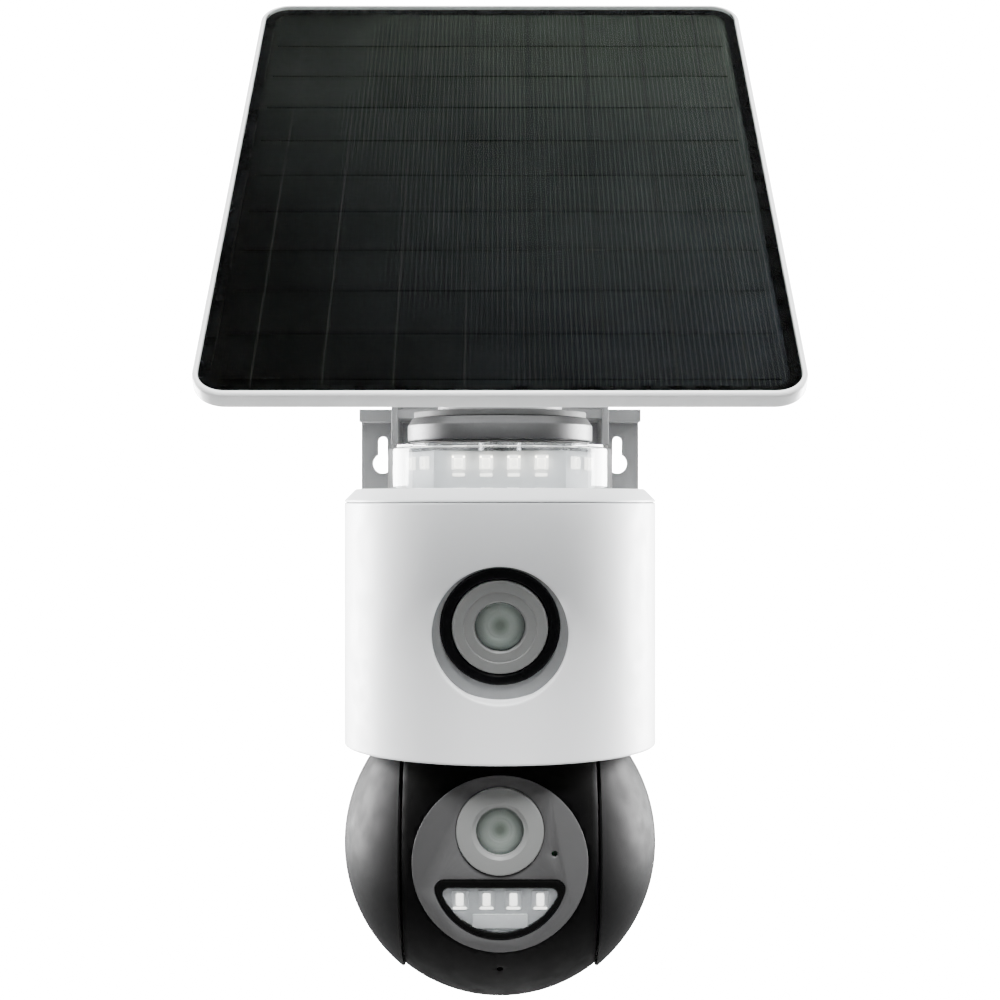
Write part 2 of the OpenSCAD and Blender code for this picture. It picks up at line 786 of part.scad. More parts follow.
module pan_gear() {
  color("ivory") on_axis(gear_z) difference() {
    rotate(90) linear_extrude(gear_t) gear_outline(pan_teeth);
    translate([0, 0, -1]) cylinder(r = shaft_r + 0.01, h = gear_t + 2);
    for (a = [45:90:315]) rotate(a) translate([12, 0, -1]) cylinder(r = 2.6, h = gear_t + 2, $fn = 32);
  }
}

module pan_bush() {
  color("goldenrod") on_axis(cup_floor)
    ring_solid(shaft_r + bush_wall - 0.01, shaft_r + running_gap, cup_floor_t);
}

// ---------- ball head ----------

axle_r = 4;
axle_bush_wall = 2;

// Slice of a ball between two distances along X from its centre, solid or as a shell
module ball_slice(r, x0, x1, r_in = 0) {
  rotate([0, 90, 0]) rotate_extrude($fn = 128) intersection() {
    difference() {
      circle(r = r, $fn = 128);
      if (r_in > 0) circle(r = r_in, $fn = 128);
    }
    translate([0, x0]) square([r + 1, x1 - x0]);
  }
}

module yoke_side() {
  difference() {
    union() {
      ball_slice(ball_r - ball_wall - 0.05, wall_x, cover_x);
      translate([wall_x, -arm_w / 2, 20]) cube([yoke_wall, arm_w, bridge_bottom - ball_z - 19.9]);
    }
    along_x(wall_x - 1) cylinder(r = axle_r + axle_bush_wall, h = yoke_wall + 2);
  }
}

module yoke() {
  color("black") {
    in_ball() for (side = [0, 1]) mirror([side, 0, 0]) yoke_side();
    in_ball() for (z = [-1, 1]) translate([cover_x - 0.1, tilt_centre, z * 8.2]) rotate([0, 90, 0])
      cylinder(r = 1.2, h = tilt_gear_t + 1.2, $fn = 24);
    on_axis(bridge_bottom) ring_solid(bridge_r, shaft_bore, bridge_t);
    on_axis(bridge_bottom + bridge_t - 0.1)
      ring_solid(shaft_r, shaft_bore, gear_z + gear_t - bridge_bottom - bridge_t + 1);
  }
}

// Hollow dome that closes one side of the ball, notched for the yoke's arm
module side_cover() {
  difference() {
    ball_slice(ball_r, wall_x, ball_r + 1, ball_r - ball_wall);
    translate([wall_x - 1, -arm_w / 2 - fit_gap, 20])
      cube([yoke_wall + 1 + fit_gap, arm_w + 2 * fit_gap, ball_r]);
  }
}

module left_cover() color("dimgray") in_ball() mirror([1, 0, 0]) side_cover();
module right_cover() color("dimgray") in_ball() side_cover();

module tilt_bushes() {
  color("goldenrod") in_ball() for (side = [0, 1]) mirror([side, 0, 0]) along_x(wall_x)
    ring_solid(axle_r + axle_bush_wall - 0.01, axle_r + running_gap, yoke_wall);
}

module tilt_motor() {
  x = tilt_gear_x + tilt_gear_t + motor_gap;
  color("silver") in_ball() translate([x, tilt_centre, 0]) rotate([0, 90, 0]) {
    difference() {
      union() {
        cylinder(r = 6, h = 4);
        linear_extrude(0.8) round_rect(20, 5, 2.4);
      }
      for (side = [-1, 1]) translate([side * 8.2, 0, -1]) cylinder(r = 1.2 + fit_gap, h = 3, $fn = 24);
    }
    translate([0, 0, -tilt_gear_t - 0.2]) cylinder(r = 1.2, h = tilt_gear_t + 0.3, $fn = 48);
  }
}

module tilt_pinion() {
  color("goldenrod") in_ball() translate([tilt_gear_x, tilt_centre, 0]) rotate([90, 0, 90]) difference() {
    rotate(180 / tilt_pinion_teeth) linear_extrude(tilt_gear_t) gear_outline(tilt_pinion_teeth);
    translate([0, 0, -1]) cylinder(r = 1.2 + running_gap, h = tilt_gear_t + 2, $fn = 48);
  }
}

module tilt_gear() {
  color("ivory") in_ball() translate([tilt_gear_x, 0, 0]) rotate([90, 0, 90]) difference() {
    linear_extrude(tilt_gear_t) gear_outline(tilt_teeth);
    translate([0, 0, -1]) cylinder(r = axle_r + 0.01, h = tilt_gear_t + 2);
  }
}

module tilt_axles() {
  inner = band_w / 2 + 0.01;
  color("silver") in_ball() {
    along_x(inner) cylinder(r = axle_r, h = tilt_gear_x + tilt_gear_t + 1 - inner);
    mirror([1, 0, 0]) along_x(inner) cylinder(r = axle_r, h = cover_x + 1 - inner);
  }
}

// Closed hollow drum with a ball-shaped rim, split upright across its middle
module band_shell() {
  half = band_w / 2;
  difference() {
    ball_slice(band_r, -half, half);
    ball_slice(band_r - band_wall, -half + band_wall, half - band_wall);
  }
}

module band_front() {
  color("black") in_ball() difference() {
    band_shell();
    translate([-100, 0, -100]) cube([200, 200, 200]);
    rotate([90 - face_tilt, 0, 0]) cylinder(r = face_r + 0.05, h = 100);
    rotate([90 + mic_angle, 0, 0]) cylinder(r = 1, h = 100, $fn = 32);
  }
}

module band_rear() {
  color("black") in_ball() difference() {
    band_shell();
    translate([-100, 0.02 - 200, -100]) cube([200, 200, 200]);
  }
}

face_t = 2.4;
lower_ring_r = 13.1;
lower_lens_up = 9.7;
lamp_low = 22.4;
lamp_high = 4.8;
lamp_r = 20.4;
window_low = 20.5;
window_high = 7.1;
window_r = 18.9;
sensor_at = [16.3, 3];
mic_angle = 41;

// Part of a circle below a level line, with its sharp corners eased
module half_moon(r, low, high, ease) {
  offset(r = ease, $fn = 32) offset(delta = -ease) intersection() {
    translate([0, r - low]) circle(r = r, $fn = 64);
    translate([-50, -100 - high]) square([100, 100]);
  }
}

module face_plate() {
  color("dimgray") in_face() translate([0, 0, face_out - face_t]) difference() {
    cylinder(r = face_r, h = face_t);
    translate([0, lower_lens_up, -1]) cylinder(r = lower_ring_r + 0.1, h = face_t + 2);
    translate([0, 0, -1]) linear_extrude(face_t + 2)
      half_moon(lamp_r + 0.1, lamp_low + 0.1, lamp_high - 0.1, 3);
    translate([sensor_at[0], sensor_at[1], -1]) cylinder(r = 0.9, h = face_t + 2, $fn = 32);
  }
}

// Grey lens ring, glass and barrel, screwed together as one unit
module lower_lens_unit() {
  color("gray") in_face() translate([0, lower_lens_up, face_out]) {
    difference() {
      translate([0, 0, -face_t]) ring_solid(lower_ring_r, 6.8, face_t + 0.6);
      translate([0, 0, 0.05]) cylinder(r = glass_r, h = 2);
    }
    translate([0, 0, -face_t - 11]) ring_solid(barrel_r, 6.8, 11.02);
    translate([0, 0, -1.2]) dome_lens(6.82, 0.9, 2);
  }
}

module lamp_unit() {
  color("white") in_face() translate([0, 0, face_out]) difference() {
    translate([0, 0, -face_t]) linear_extrude(face_t + 0.3) half_moon(lamp_r, lamp_low, lamp_high, 3);
    translate([0, 0, -1.2]) linear_extrude(4) half_moon(window_r, window_low, window_high, 2);
  }
  color("lightyellow") in_face() translate([0, 0, face_out - 1.21]) {
    for (x = [-1.5, -0.5, 0.5, 1.5]) translate([x * 8, -10.8, 0]) cylinder(r = 2, h = 0.7, $fn = 32);
    translate([-8, -19.4, 0]) cube([16, 5, 0.8]);
  }
}

// Sensor board behind the lens and light board behind the lamp
module lower_boards() {
  color("green") in_face() {
    translate([0, lower_lens_up, face_out - face_t - 12.2]) sensor_plate();
    translate([-17, -20, face_out - face_t - 1.8]) cube([34, 12, 1.6]);
    translate([sensor_at[0] - 1.8, sensor_at[1] - 1.8, face_out - face_t - 2]) cube([3.6, 3.6, 1.9]);
  }
}

wall_bracket();
hinge_pin();
clamp_knob();
panel_frame();
panel_glass();
solar_cells();
cell_board();
panel_back();
hinge_lug();
lug_screws();
junction_box();
cap_pad();
cap_disc();
cap_seal();
clear_ring();
led_carrier();
ring_leds();
stem_tube();
stem_nuts();
body_lid();
lid_seal();
front_shell();
rear_shell();
shell_screws();
socket_cup();
lens_ring();
lens_disc();
upper_lens();
upper_barrel();
upper_sensor_board();
battery_cells();
battery_tray();
main_board();
radio_module();
speaker();
side_board();
card_slot();
charge_socket();
power_button();
reset_button();
service_flap();
flap_pin();
pan_motor();
pan_pinion();
pan_gear();
pan_bush();
yoke();
left_cover();
right_cover();
tilt_bushes();
tilt_motor();
tilt_pinion();
tilt_gear();
tilt_axles();
band_front();
band_rear();
face_plate();
lower_lens_unit();
lamp_unit();
lower_boards();
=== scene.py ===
import json
import math

import bmesh
import bpy
import numpy as np
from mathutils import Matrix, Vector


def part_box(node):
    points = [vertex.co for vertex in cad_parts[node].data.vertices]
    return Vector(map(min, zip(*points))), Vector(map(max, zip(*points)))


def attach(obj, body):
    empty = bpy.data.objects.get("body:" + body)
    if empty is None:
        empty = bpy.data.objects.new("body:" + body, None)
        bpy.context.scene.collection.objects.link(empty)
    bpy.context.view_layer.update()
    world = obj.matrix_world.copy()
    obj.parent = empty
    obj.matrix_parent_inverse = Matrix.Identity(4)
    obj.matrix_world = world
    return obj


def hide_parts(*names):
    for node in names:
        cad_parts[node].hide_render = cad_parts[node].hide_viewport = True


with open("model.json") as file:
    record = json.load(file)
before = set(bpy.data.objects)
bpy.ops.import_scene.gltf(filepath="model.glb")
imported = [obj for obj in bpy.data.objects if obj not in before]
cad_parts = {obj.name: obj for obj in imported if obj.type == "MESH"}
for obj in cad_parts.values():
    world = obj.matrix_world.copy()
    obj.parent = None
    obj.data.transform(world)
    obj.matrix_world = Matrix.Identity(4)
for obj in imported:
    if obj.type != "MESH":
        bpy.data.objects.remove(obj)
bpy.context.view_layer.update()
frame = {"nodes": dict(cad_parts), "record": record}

nodes = frame["nodes"]
bodyOf = {node: body for body, held in frame["record"]["behaviour"]["bodies"].items() for node in held}
slotOf = {part["node"]: part["material_slot"] for part in frame["record"]["subparts"]}
mm = 0.001


# Places: every part is built in its own axes, in millimetres, and then put where the frame says

# A place is an origin in metres and three axes: right, up and out
def place(origin, right, up, out):
    return np.array(origin, float), np.array([right, up, out], float)


def cornerPoints(node):
    mesh = nodes[node].data
    points = np.empty(len(mesh.vertices) * 3)
    mesh.vertices.foreach_get("co", points)
    return points.reshape(-1, 3)


# Direction that most of a node's area faces, among those that point towards a given side
def facingOf(node, towards):
    mesh = nodes[node].data
    normals = np.empty(len(mesh.polygons) * 3)
    areas = np.empty(len(mesh.polygons))
    mesh.polygons.foreach_get("normal", normals)
    mesh.polygons.foreach_get("area", areas)
    kinds, group = np.unique(np.round(normals.reshape(-1, 3), 4), axis=0, return_inverse=True)
    total = np.bincount(group.ravel(), weights=areas)
    total[kinds @ np.array(towards, float) < 0.3] = 0
    best = kinds[np.argmax(total)]
    return best / np.linalg.norm(best)


# Lowest and highest corner of a node along a place's own axes, in millimetres
def localBox(node, where):
    origin, axes = where
    local = (cornerPoints(node) - origin) @ axes.T / mm
    return local.min(axis=0), local.max(axis=0)


# Place of a flat or round node: its middle, +Z out of the side that it faces, +X to the right
def flatPlace(node, towards):
    out = facingOf(node, towards)
    up = np.cross(out, (1, 0, 0))
    where = place((0, 0, 0), (1, 0, 0), up / np.linalg.norm(up), out)
    low, high = localBox(node, where)
    return (low + high) / 2 * mm @ where[1], where[1]


def boxMiddle(node):
    low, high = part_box(node)
    return (np.array(low) + np.array(high)) / 2


axisY = boxMiddle("clear_ring")[1]
upright = place((0, axisY, 0), (1, 0, 0), (0, 1, 0), (0, 0, 1))
panelPlace = flatPlace("panel_frame", (0, -1, 1))
lensPlace = flatPlace("lens_ring", (0, -1, 0))
facePlace = flatPlace("face_plate", (0, -1, 0))
lowerLensPlace = flatPlace("lower_lens_unit", (0, -1, 0))
ballCentre = (0, axisY, boxMiddle("right_cover")[2])
ballRight = place(ballCentre, (0, 1, 0), (0, 0, 1), (1, 0, 0))
ballLeft = place(ballCentre, (0, -1, 0), (0, 0, 1), (-1, 0, 0))
print("places read from the frame")


# Meshes, worked out as whole arrays

# Local millimetres into the part's frame: origin + x * right + y * up + z * out
def placed(points, where):
    origin, axes = where
    return origin + np.asarray(points, float) * mm @ axes


# Quads of a grid of rows by columns, joined end to end in either direction when asked
def gridFaces(rows, cols, wrapRows=False, wrapCols=True):
    r = np.arange(rows if wrapRows else rows - 1)
    c = np.arange(cols if wrapCols else cols - 1)
    r, c = np.meshgrid(r, c, indexing="ij")
    nextR, nextC = (r + 1) % rows, (c + 1) % cols
    quads = np.stack([r * cols + c, r * cols + nextC, nextR * cols + nextC, nextR * cols + c], axis=-1)
    return quads.reshape(-1, 4).tolist()


# Rounds the corners of a closed outline: a corner (x, y, radius) becomes an arc tangent to both its sides
def rounded(corners, steps=5):
    spots = np.array([corner[:2] for corner in corners], float)
    outline = []
    for i, corner in enumerate(corners):
        radius = corner[2] if len(corner) > 2 else 0
        here = spots[i]
        back = spots[i - 1] - here
        ahead = spots[(i + 1) % len(spots)] - here
        if radius == 0:
            outline.append(here)
            continue
        back, ahead = back / np.linalg.norm(back), ahead / np.linalg.norm(ahead)
        half = math.acos(np.clip(back @ ahead, -1, 1)) / 2
        centre = here + (back + ahead) / np.linalg.norm(back + ahead) * radius / math.sin(half)
        first = here + back * radius / math.tan(half) - centre
        last = here + ahead * radius / math.tan(half) - centre
        start = math.atan2(first[1], first[0])
        sweep = (math.atan2(last[1], last[0]) - start + math.pi) % (2 * math.pi) - math.pi
        turn = start + sweep * np.linspace(0, 1, steps + 1)
        outline.extend(centre + radius * np.column_stack([np.cos(turn), np.sin(turn)]))
    return np.array(outline)


# Arc of a profile: centre + radius * (cos, sin) of an angle that runs between two ends
def arc(centre, radius, start, end, steps):
    turn = np.radians(np.linspace(start, end, steps + 1))
    return np.array(centre) + radius * np.column_stack([np.cos(turn), np.sin(turn)])


# Lathe: each point (radius, height) of a closed profile runs round the out axis
def turned(profile, where, steps=144):
    profile = np.asarray(profile, float)
    turn = np.linspace(0, 2 * np.pi, steps, endpoint=False)
    radius, height = profile[:, :1], profile[:, 1:]
    points = np.stack([radius * np.cos(turn), radius * np.sin(turn), height + 0 * turn], axis=-1)
    return placed(points.reshape(-1, 3), where), gridFaces(len(profile), steps, wrapRows=True)


# Outline made of arcs (x, y, radius, start, end): each point keeps its arc's centre, radius and direction,
# so that an inset only shortens the radius
def arcOutline(arcs, steps=16):
    centres, radii, directions = [], [], []
    for x, y, radius, start, end in arcs:
        turn = np.radians(np.linspace(start, end, steps + 1))
        centres.append(np.tile((x, y), (steps + 1, 1)))
        radii.append(np.full(steps + 1, float(radius)))
        directions.append(np.column_stack([np.cos(turn), np.sin(turn)]))
    return np.concatenate(centres), np.concatenate(radii), np.concatenate(directions)


def roundRect(low, high, radius):
    (x0, y0), (x1, y1) = low[:2] + radius, high[:2] - radius
    return arcOutline([(x1, y1, radius, 0, 90), (x0, y1, radius, 90, 180),
                       (x0, y0, radius, 180, 270), (x1, y0, radius, 270, 360)])


# Part of a circle below a level line, with both corners rounded by arcs tangent to the circle and the line
def halfMoon(radius, low, high, ease):
    middleY = radius - low
    cornerY = -high - ease
    cornerX = math.sqrt((radius - ease) ** 2 - (cornerY - middleY) ** 2)
    tilt = math.degrees(math.atan2(cornerY - middleY, cornerX))
    return arcOutline([(0, middleY, radius, 180 - tilt, 360 + tilt), (cornerX, cornerY, ease, tilt, 90),
                       (-cornerX, cornerY, ease, 90, 180 - tilt)], steps=24)


# Skin through rows of (outline, inset, height): open rows get a flat face at each end, closed ones a ring
def swept(rows, where, closed=False):
    layers = []
    for (centres, radii, directions), inset, height in rows:
        flat = centres + (radii - inset)[:, None] * directions
        layers.append(np.column_stack([flat, np.full(len(flat), height)]))
    cols = len(layers[0])
    faces = gridFaces(len(layers), cols, wrapRows=closed)
    if not closed:
        faces += [list(range(cols)), list(range((len(layers) - 1) * cols, len(layers) * cols))]
    return placed(np.concatenate(layers), where), faces


# Low rounded pad between two corners of a place, standing on a height
def pad(x0, y0, x1, y1, radius, low, thick, where):
    outline = roundRect(np.array([x0, y0]), np.array([x1, y1]), radius)
    soft = min(radius, thick) * 0.4
    top = low + thick
    rows = [(outline, 0, low), (outline, 0, top - soft), (outline, soft * 0.3, top - soft * 0.3),
            (outline, soft, top)]
    return swept(rows, where)


# One mesh object from (points, faces) shells: doubles merged, faces outwards, edges over the angle sharp
def meshPiece(name, shells, sharp=32):
    points, faces, start = [], [], 0
    for shellPoints, shellFaces in shells:
        points.append(shellPoints)
        faces.extend([[index + start for index in face] for face in shellFaces])
        start += len(shellPoints)
    mesh = bpy.data.meshes.new(name)
    mesh.from_pydata(np.concatenate(points).tolist(), [], faces)
    bm = bmesh.new()
    bm.from_mesh(mesh)
    bmesh.ops.remove_doubles(bm, verts=bm.verts, dist=1e-7)
    bmesh.ops.recalc_face_normals(bm, faces=bm.faces)
    bm.to_mesh(mesh)
    bm.free()
    return shaded(name, mesh, sharp)


def shaded(name, mesh, sharp=None):
    mesh.polygons.foreach_set("use_smooth", np.ones(len(mesh.polygons), bool))
    if sharp:
        mesh.set_sharp_from_angle(angle=math.radians(sharp))
    piece = bpy.data.objects.new(name, mesh)
    bpy.context.scene.collection.objects.link(piece)
    return piece


# Finishes a piece: its material by slot, the body that it moves with, and the CAD nodes it stands for
def fit(piece, body, slot, *stoodFor, material=None):
    piece.data.materials.clear()
    piece.data.materials.append(material or finish[slot])
    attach(piece, body)
    if stoodFor:
        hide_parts(*stoodFor)
    return piece


# Materials: node by node

class Shade:
    # A Principled material whose even values sit on the shader's own sockets
    def __init__(self, name, color, rough, **sockets):
        self.material = bpy.data.materials.new(name)
        self.material.use_nodes = True
        self.tree = self.material.node_tree
        self.shader = self.tree.nodes["Principled BSDF"]
        self.color = color
        self.shader.inputs["Base Color"].default_value = (*color, 1)
        self.shader.inputs["Roughness"].default_value = rough
        for socket, value in sockets.items():
            self.shader.inputs[socket.replace("_", " ")].default_value = value
        self.where = self.add("ShaderNodeTexCoord").outputs["Object"]

    # One node with its settings, and its inputs linked or set
    def add(self, kind, inputs=None, **settings):
        node = self.tree.nodes.new(kind)
        for key, value in settings.items():
            setattr(node, key, value)
        for key, value in (inputs or {}).items():
            self.put(node.inputs[key], value)
        return node

    def put(self, socket, value):
        if isinstance(value, bpy.types.NodeSocket):
            self.tree.links.new(value, socket)
        else:
            socket.default_value = value

    # Object coordinates turned and shifted into a place's own axes
    def turnTo(self, target):
        origin, axes = target
        angle = math.atan2(axes[1][2], axes[1][1])
        shift = -(axes @ origin)
        mapped = self.add("ShaderNodeMapping", {"Vector": self.where, "Location": shift.tolist(),
                                                "Rotation": (-angle, 0, 0)})
        self.where = mapped.outputs["Vector"]

    def axes(self):
        return self.add("ShaderNodeSeparateXYZ", {"Vector": self.where}).outputs

    # Noise whose lumps are about size millimetres across, stretched along the axes
    def noise(self, size, detail=3.0, stretch=(1, 1, 1)):
        scaled = self.add("ShaderNodeMapping", {"Vector": self.where, "Scale": stretch})
        inputs = {"Vector": scaled.outputs["Vector"], "Scale": 1 / (size * mm), "Detail": detail}
        return self.add("ShaderNodeTexNoise", inputs).outputs["Fac"]

    def math(self, operation, first, second=0.0):
        node = self.add("ShaderNodeMath", {0: first, 1: second}, operation=operation)
        return node.outputs[0]

    # Straight change from one span of values to another, held at its ends
    def span(self, value, low, high, toLow, toHigh):
        inputs = {"Value": value, "From Min": low, "From Max": high, "To Min": toLow, "To Max": toHigh}
        return self.add("ShaderNodeMapRange", inputs).outputs["Result"]

    def mix(self, share, first, second):
        node = self.add("ShaderNodeMix", {"Factor": share}, data_type="RGBA")
        for socket, color in ((node.inputs[6], first), (node.inputs[7], second)):
            self.put(socket, (*color, 1) if isinstance(color, tuple) else color)
        return node.outputs[2]

    # Lines across one coordinate: 1 within half the width of each middle between two multiples of the
    # pitch, softened at the sides
    def lines(self, along, pitch, width, soft=0.3):
        steps = self.math("DIVIDE", along, pitch * mm)
        away = self.math("ABSOLUTE", self.math("SUBTRACT", self.math("FRACT", steps), 0.5))
        edge = width / pitch / 2
        return self.span(away, edge * (1 - soft), edge * (1 + soft), 1.0, 0.0)

    def colorFrom(self, socket):
        self.put(self.shader.inputs["Base Color"], socket)

    # Colour that drifts between darker and lighter shares of the base along slow noise
    def drift(self, amount, size):
        dark = tuple(c * (1 - amount) for c in self.color)
        light = tuple(min(c * (1 + amount), 1) for c in self.color)
        self.colorFrom(self.mix(self.noise(size), dark, light))

    def roughFrom(self, low, high, size, stretch=(1, 1, 1)):
        fac = self.span(self.noise(size, stretch=stretch), 0.35, 0.65, low, high)
        self.put(self.shader.inputs["Roughness"], fac)

    # Small relief: any value between 0 and 1 raises the surface by up to a depth in millimetres
    def relief(self, height, depth):
        bump = self.add("ShaderNodeBump", {"Height": height, "Distance": depth * mm})
        self.put(self.shader.inputs["Normal"], bump.outputs["Normal"])


# Moulded plastic: slow drift of colour, patches of gloss and an etched grain
def moulded(name, color, rough, grain=0.02, grainSize=0.35, drift=0.03, **sockets):
    shade = Shade(name, color, rough, **sockets)
    shade.drift(drift, 22)
    shade.roughFrom(rough - 0.05, rough + 0.05, 6)
    shade.relief(shade.noise(grainSize, 2), grain)
    return shade.material


# Metal: fine lines left by the tool along one direction
def metal(name, color, rough, stretch=(1, 1, 1), size=0.5, depth=0.01):
    shade = Shade(name, color, rough, Metallic=1.0)
    shade.drift(0.08, 8)
    shade.roughFrom(rough - 0.08, rough + 0.1, size, stretch)
    shade.relief(shade.noise(size, 2, stretch), depth)
    return shade.material


# Clear plastic or glass: light passes, with the faint waves of the mould
def clear(name, color, rough, ior, wave=0.004, **sockets):
    shade = Shade(name, color, rough, IOR=ior, Transmission_Weight=1.0, **sockets)
    shade.roughFrom(rough, rough + 0.03, 5)
    shade.relief(shade.noise(9, 1), wave)
    return shade.material


# Circuit board: green mask with broken lines of lighter tracks and tinned pads
def boardFinish(name):
    shade = Shade(name, (0.02, 0.16, 0.06), 0.35)
    x = shade.axes()[0]
    wander = shade.span(shade.noise(5, 1), 0.45, 0.5, 0, 1)
    tracks = shade.math("MULTIPLY", shade.lines(x, 1.27, 0.4), wander)
    pads = shade.add("ShaderNodeTexVoronoi", {"Vector": shade.where, "Scale": 1 / (4 * mm)})
    dots = shade.span(pads.outputs["Distance"], 0.1, 0.13, 1, 0)
    green = shade.mix(tracks, (0.012, 0.11, 0.04), (0.03, 0.26, 0.09))
    shade.colorFrom(shade.mix(dots, green, (0.72, 0.70, 0.66)))
    shade.put(shade.shader.inputs["Metallic"], dots)
    shade.relief(shade.math("ADD", tracks, dots), 0.03)
    return shade.material


# Dark, green and blue are the tints of the cells' painted sheen, and the spread and rise set how far it
# reaches and its slant
cellLook = {
    "fingerPitch": 1.5, "fingerWidth": 0.34,
    "barPitch": 19.6, "barWidth": 0.55,
    "dark": (0.0006, 0.0006, 0.0006), "green": (0.034, 0.040, 0.033), "blue": (0.017, 0.019, 0.025),
    "finger": (0.070, 0.072, 0.068), "bar": (0.020, 0.021, 0.020), "sheenSpread": 75, "rise": 0.4,
}
# Backing seen in the gaps between the rows of cells, with the same painted sheen in paler tints than the
# cells
backingLook = dict(cellLook, green=(0.046, 0.053, 0.045), blue=(0.024, 0.027, 0.034))


# Solar cell: a painted sheen, near-black at the lower left to greenish at the upper right and bluish lower
# down, with thin collector fingers up the panel that show only where the painted sheen lies, and a few wider
# bars
def cellFinish(name, look=cellLook):
    shade = Shade(name, look["dark"], 0.6, Specular_IOR_Level=0.04)
    shade.turnTo(panelPlace)
    x, y = shade.axes()[:2]
    reach = look["sheenSpread"] * mm
    # Painted sheen: its tint turns from blue low on the panel to green high up
    sheenClimb = shade.math("ADD", y, shade.math("MULTIPLY", shade.noise(90, 1), reach))
    sheenTint = shade.mix(shade.span(sheenClimb, -0.5 * reach, 1.5 * reach, 0, 1), look["blue"], look["green"])
    sheenSlant = shade.math("ADD", x, shade.math("MULTIPLY", y, look["rise"]))
    uneven = shade.math("ADD", sheenSlant, shade.math("MULTIPLY", shade.noise(60, 3), reach))
    # Share of the painted sheen: none at the lower left, full at the upper right
    shares = shade.span(uneven, -0.6 * reach, 2.0 * reach, 0, 1)
    base = shade.mix(shares, look["dark"], sheenTint)
    fingers = shade.lines(x, look["fingerPitch"], look["fingerWidth"])
    bars = shade.lines(x, look["barPitch"], look["barWidth"])
    # Fingers show only where the painted sheen lies
    seen = shade.math("MULTIPLY", fingers, shares)
    shade.colorFrom(shade.mix(bars, shade.mix(seen, base, look["finger"]), look["bar"]))
    shade.relief(fingers, 0.01)
    return shade.material


glassLook = {"dimplePitch": 1.6, "dimpleDepth": 0.05, "rough": 0.12, "ior": 1.12}


# Panel glass: a close diamond pattern of dimples pressed in its face, which breaks up every reflection
def panelGlassFinish(name):
    look = glassLook
    shade = Shade(name, (0.93, 0.97, 0.95), look["rough"], IOR=look["ior"], Transmission_Weight=1.0)
    shade.turnTo(panelPlace)
    x, y = shade.axes()[:2]
    turns = 2 * math.pi / (look["dimplePitch"] * mm)
    rising = shade.math("SINE", shade.math("MULTIPLY", shade.math("ADD", x, y), turns / 2))
    falling = shade.math("SINE", shade.math("MULTIPLY", shade.math("SUBTRACT", x, y), turns / 2))
    dimples = shade.math("MULTIPLY", rising, falling)
    uneven = shade.math("ADD", dimples, shade.noise(3, 3))
    shade.relief(shade.span(uneven, -1, 2, 0, 1), look["dimpleDepth"])
    return shade.material


# Battery wrap: shrink sleeve with faint rings
def wrapFinish(name):
    shade = Shade(name, (0.05, 0.16, 0.42), 0.3, Coat_Weight=0.3)
    shade.drift(0.1, 12)
    x = shade.axes()[0]
    shade.relief(shade.lines(x, 5.0, 1.2, 0.9), 0.03)
    return shade.material


# Light chip: warm phosphor spots on a white package, with a painted glow: emission makes the chips look
# bright white
def ledGlowFinish(name):
    shade = Shade(name, (0.88, 0.86, 0.78), 0.35, Emission_Color=(1, 0.98, 0.94, 1), Emission_Strength=2.8)
    speckle = shade.noise(0.3, 2)
    shade.colorFrom(shade.mix(shade.span(speckle, 0.4, 0.7, 0, 1), (0.86, 0.86, 0.84), (0.88, 0.82, 0.62)))
    shade.relief(speckle, 0.01)
    return shade.material


# Lens glass with a coating that turns the reflection green
def coatedGlass(name):
    shade = Shade(name, (0.95, 0.98, 0.96), 0.02, IOR=1.45, Transmission_Weight=1.0,
                  Specular_Tint=(0.80, 1.0, 0.92, 1))
    shade.roughFrom(0.01, 0.04, 3)
    shade.relief(shade.noise(5, 1), 0.001)
    return shade.material


# Iris: rings of shade about a lens's axis, a dark rim round a paler dish with a dim pupil low in the middle
def irisFinish(name, where, radius):
    shade = Shade(name, (0.16, 0.18, 0.17), 0.35)
    shade.turnTo(where)
    x, y = shade.axes()[:2]
    squares = shade.math("ADD", shade.math("MULTIPLY", x, x), shade.math("MULTIPLY", y, y))
    away = shade.math("DIVIDE", shade.math("SQRT", squares), radius * mm)
    dish = shade.mix(shade.span(away, 0.55, 0.95, 0, 1), (0.52, 0.56, 0.54), (0.16, 0.175, 0.168))
    pupil = shade.math("SUBTRACT", 1.0, shade.span(away, 0.12, 0.40, 0, 1))
    shade.colorFrom(shade.mix(pupil, dish, (0.22, 0.25, 0.22)))
    shade.relief(shade.lines(away, 0.11 / mm, 0.03 / mm), 0.02)
    return shade.material


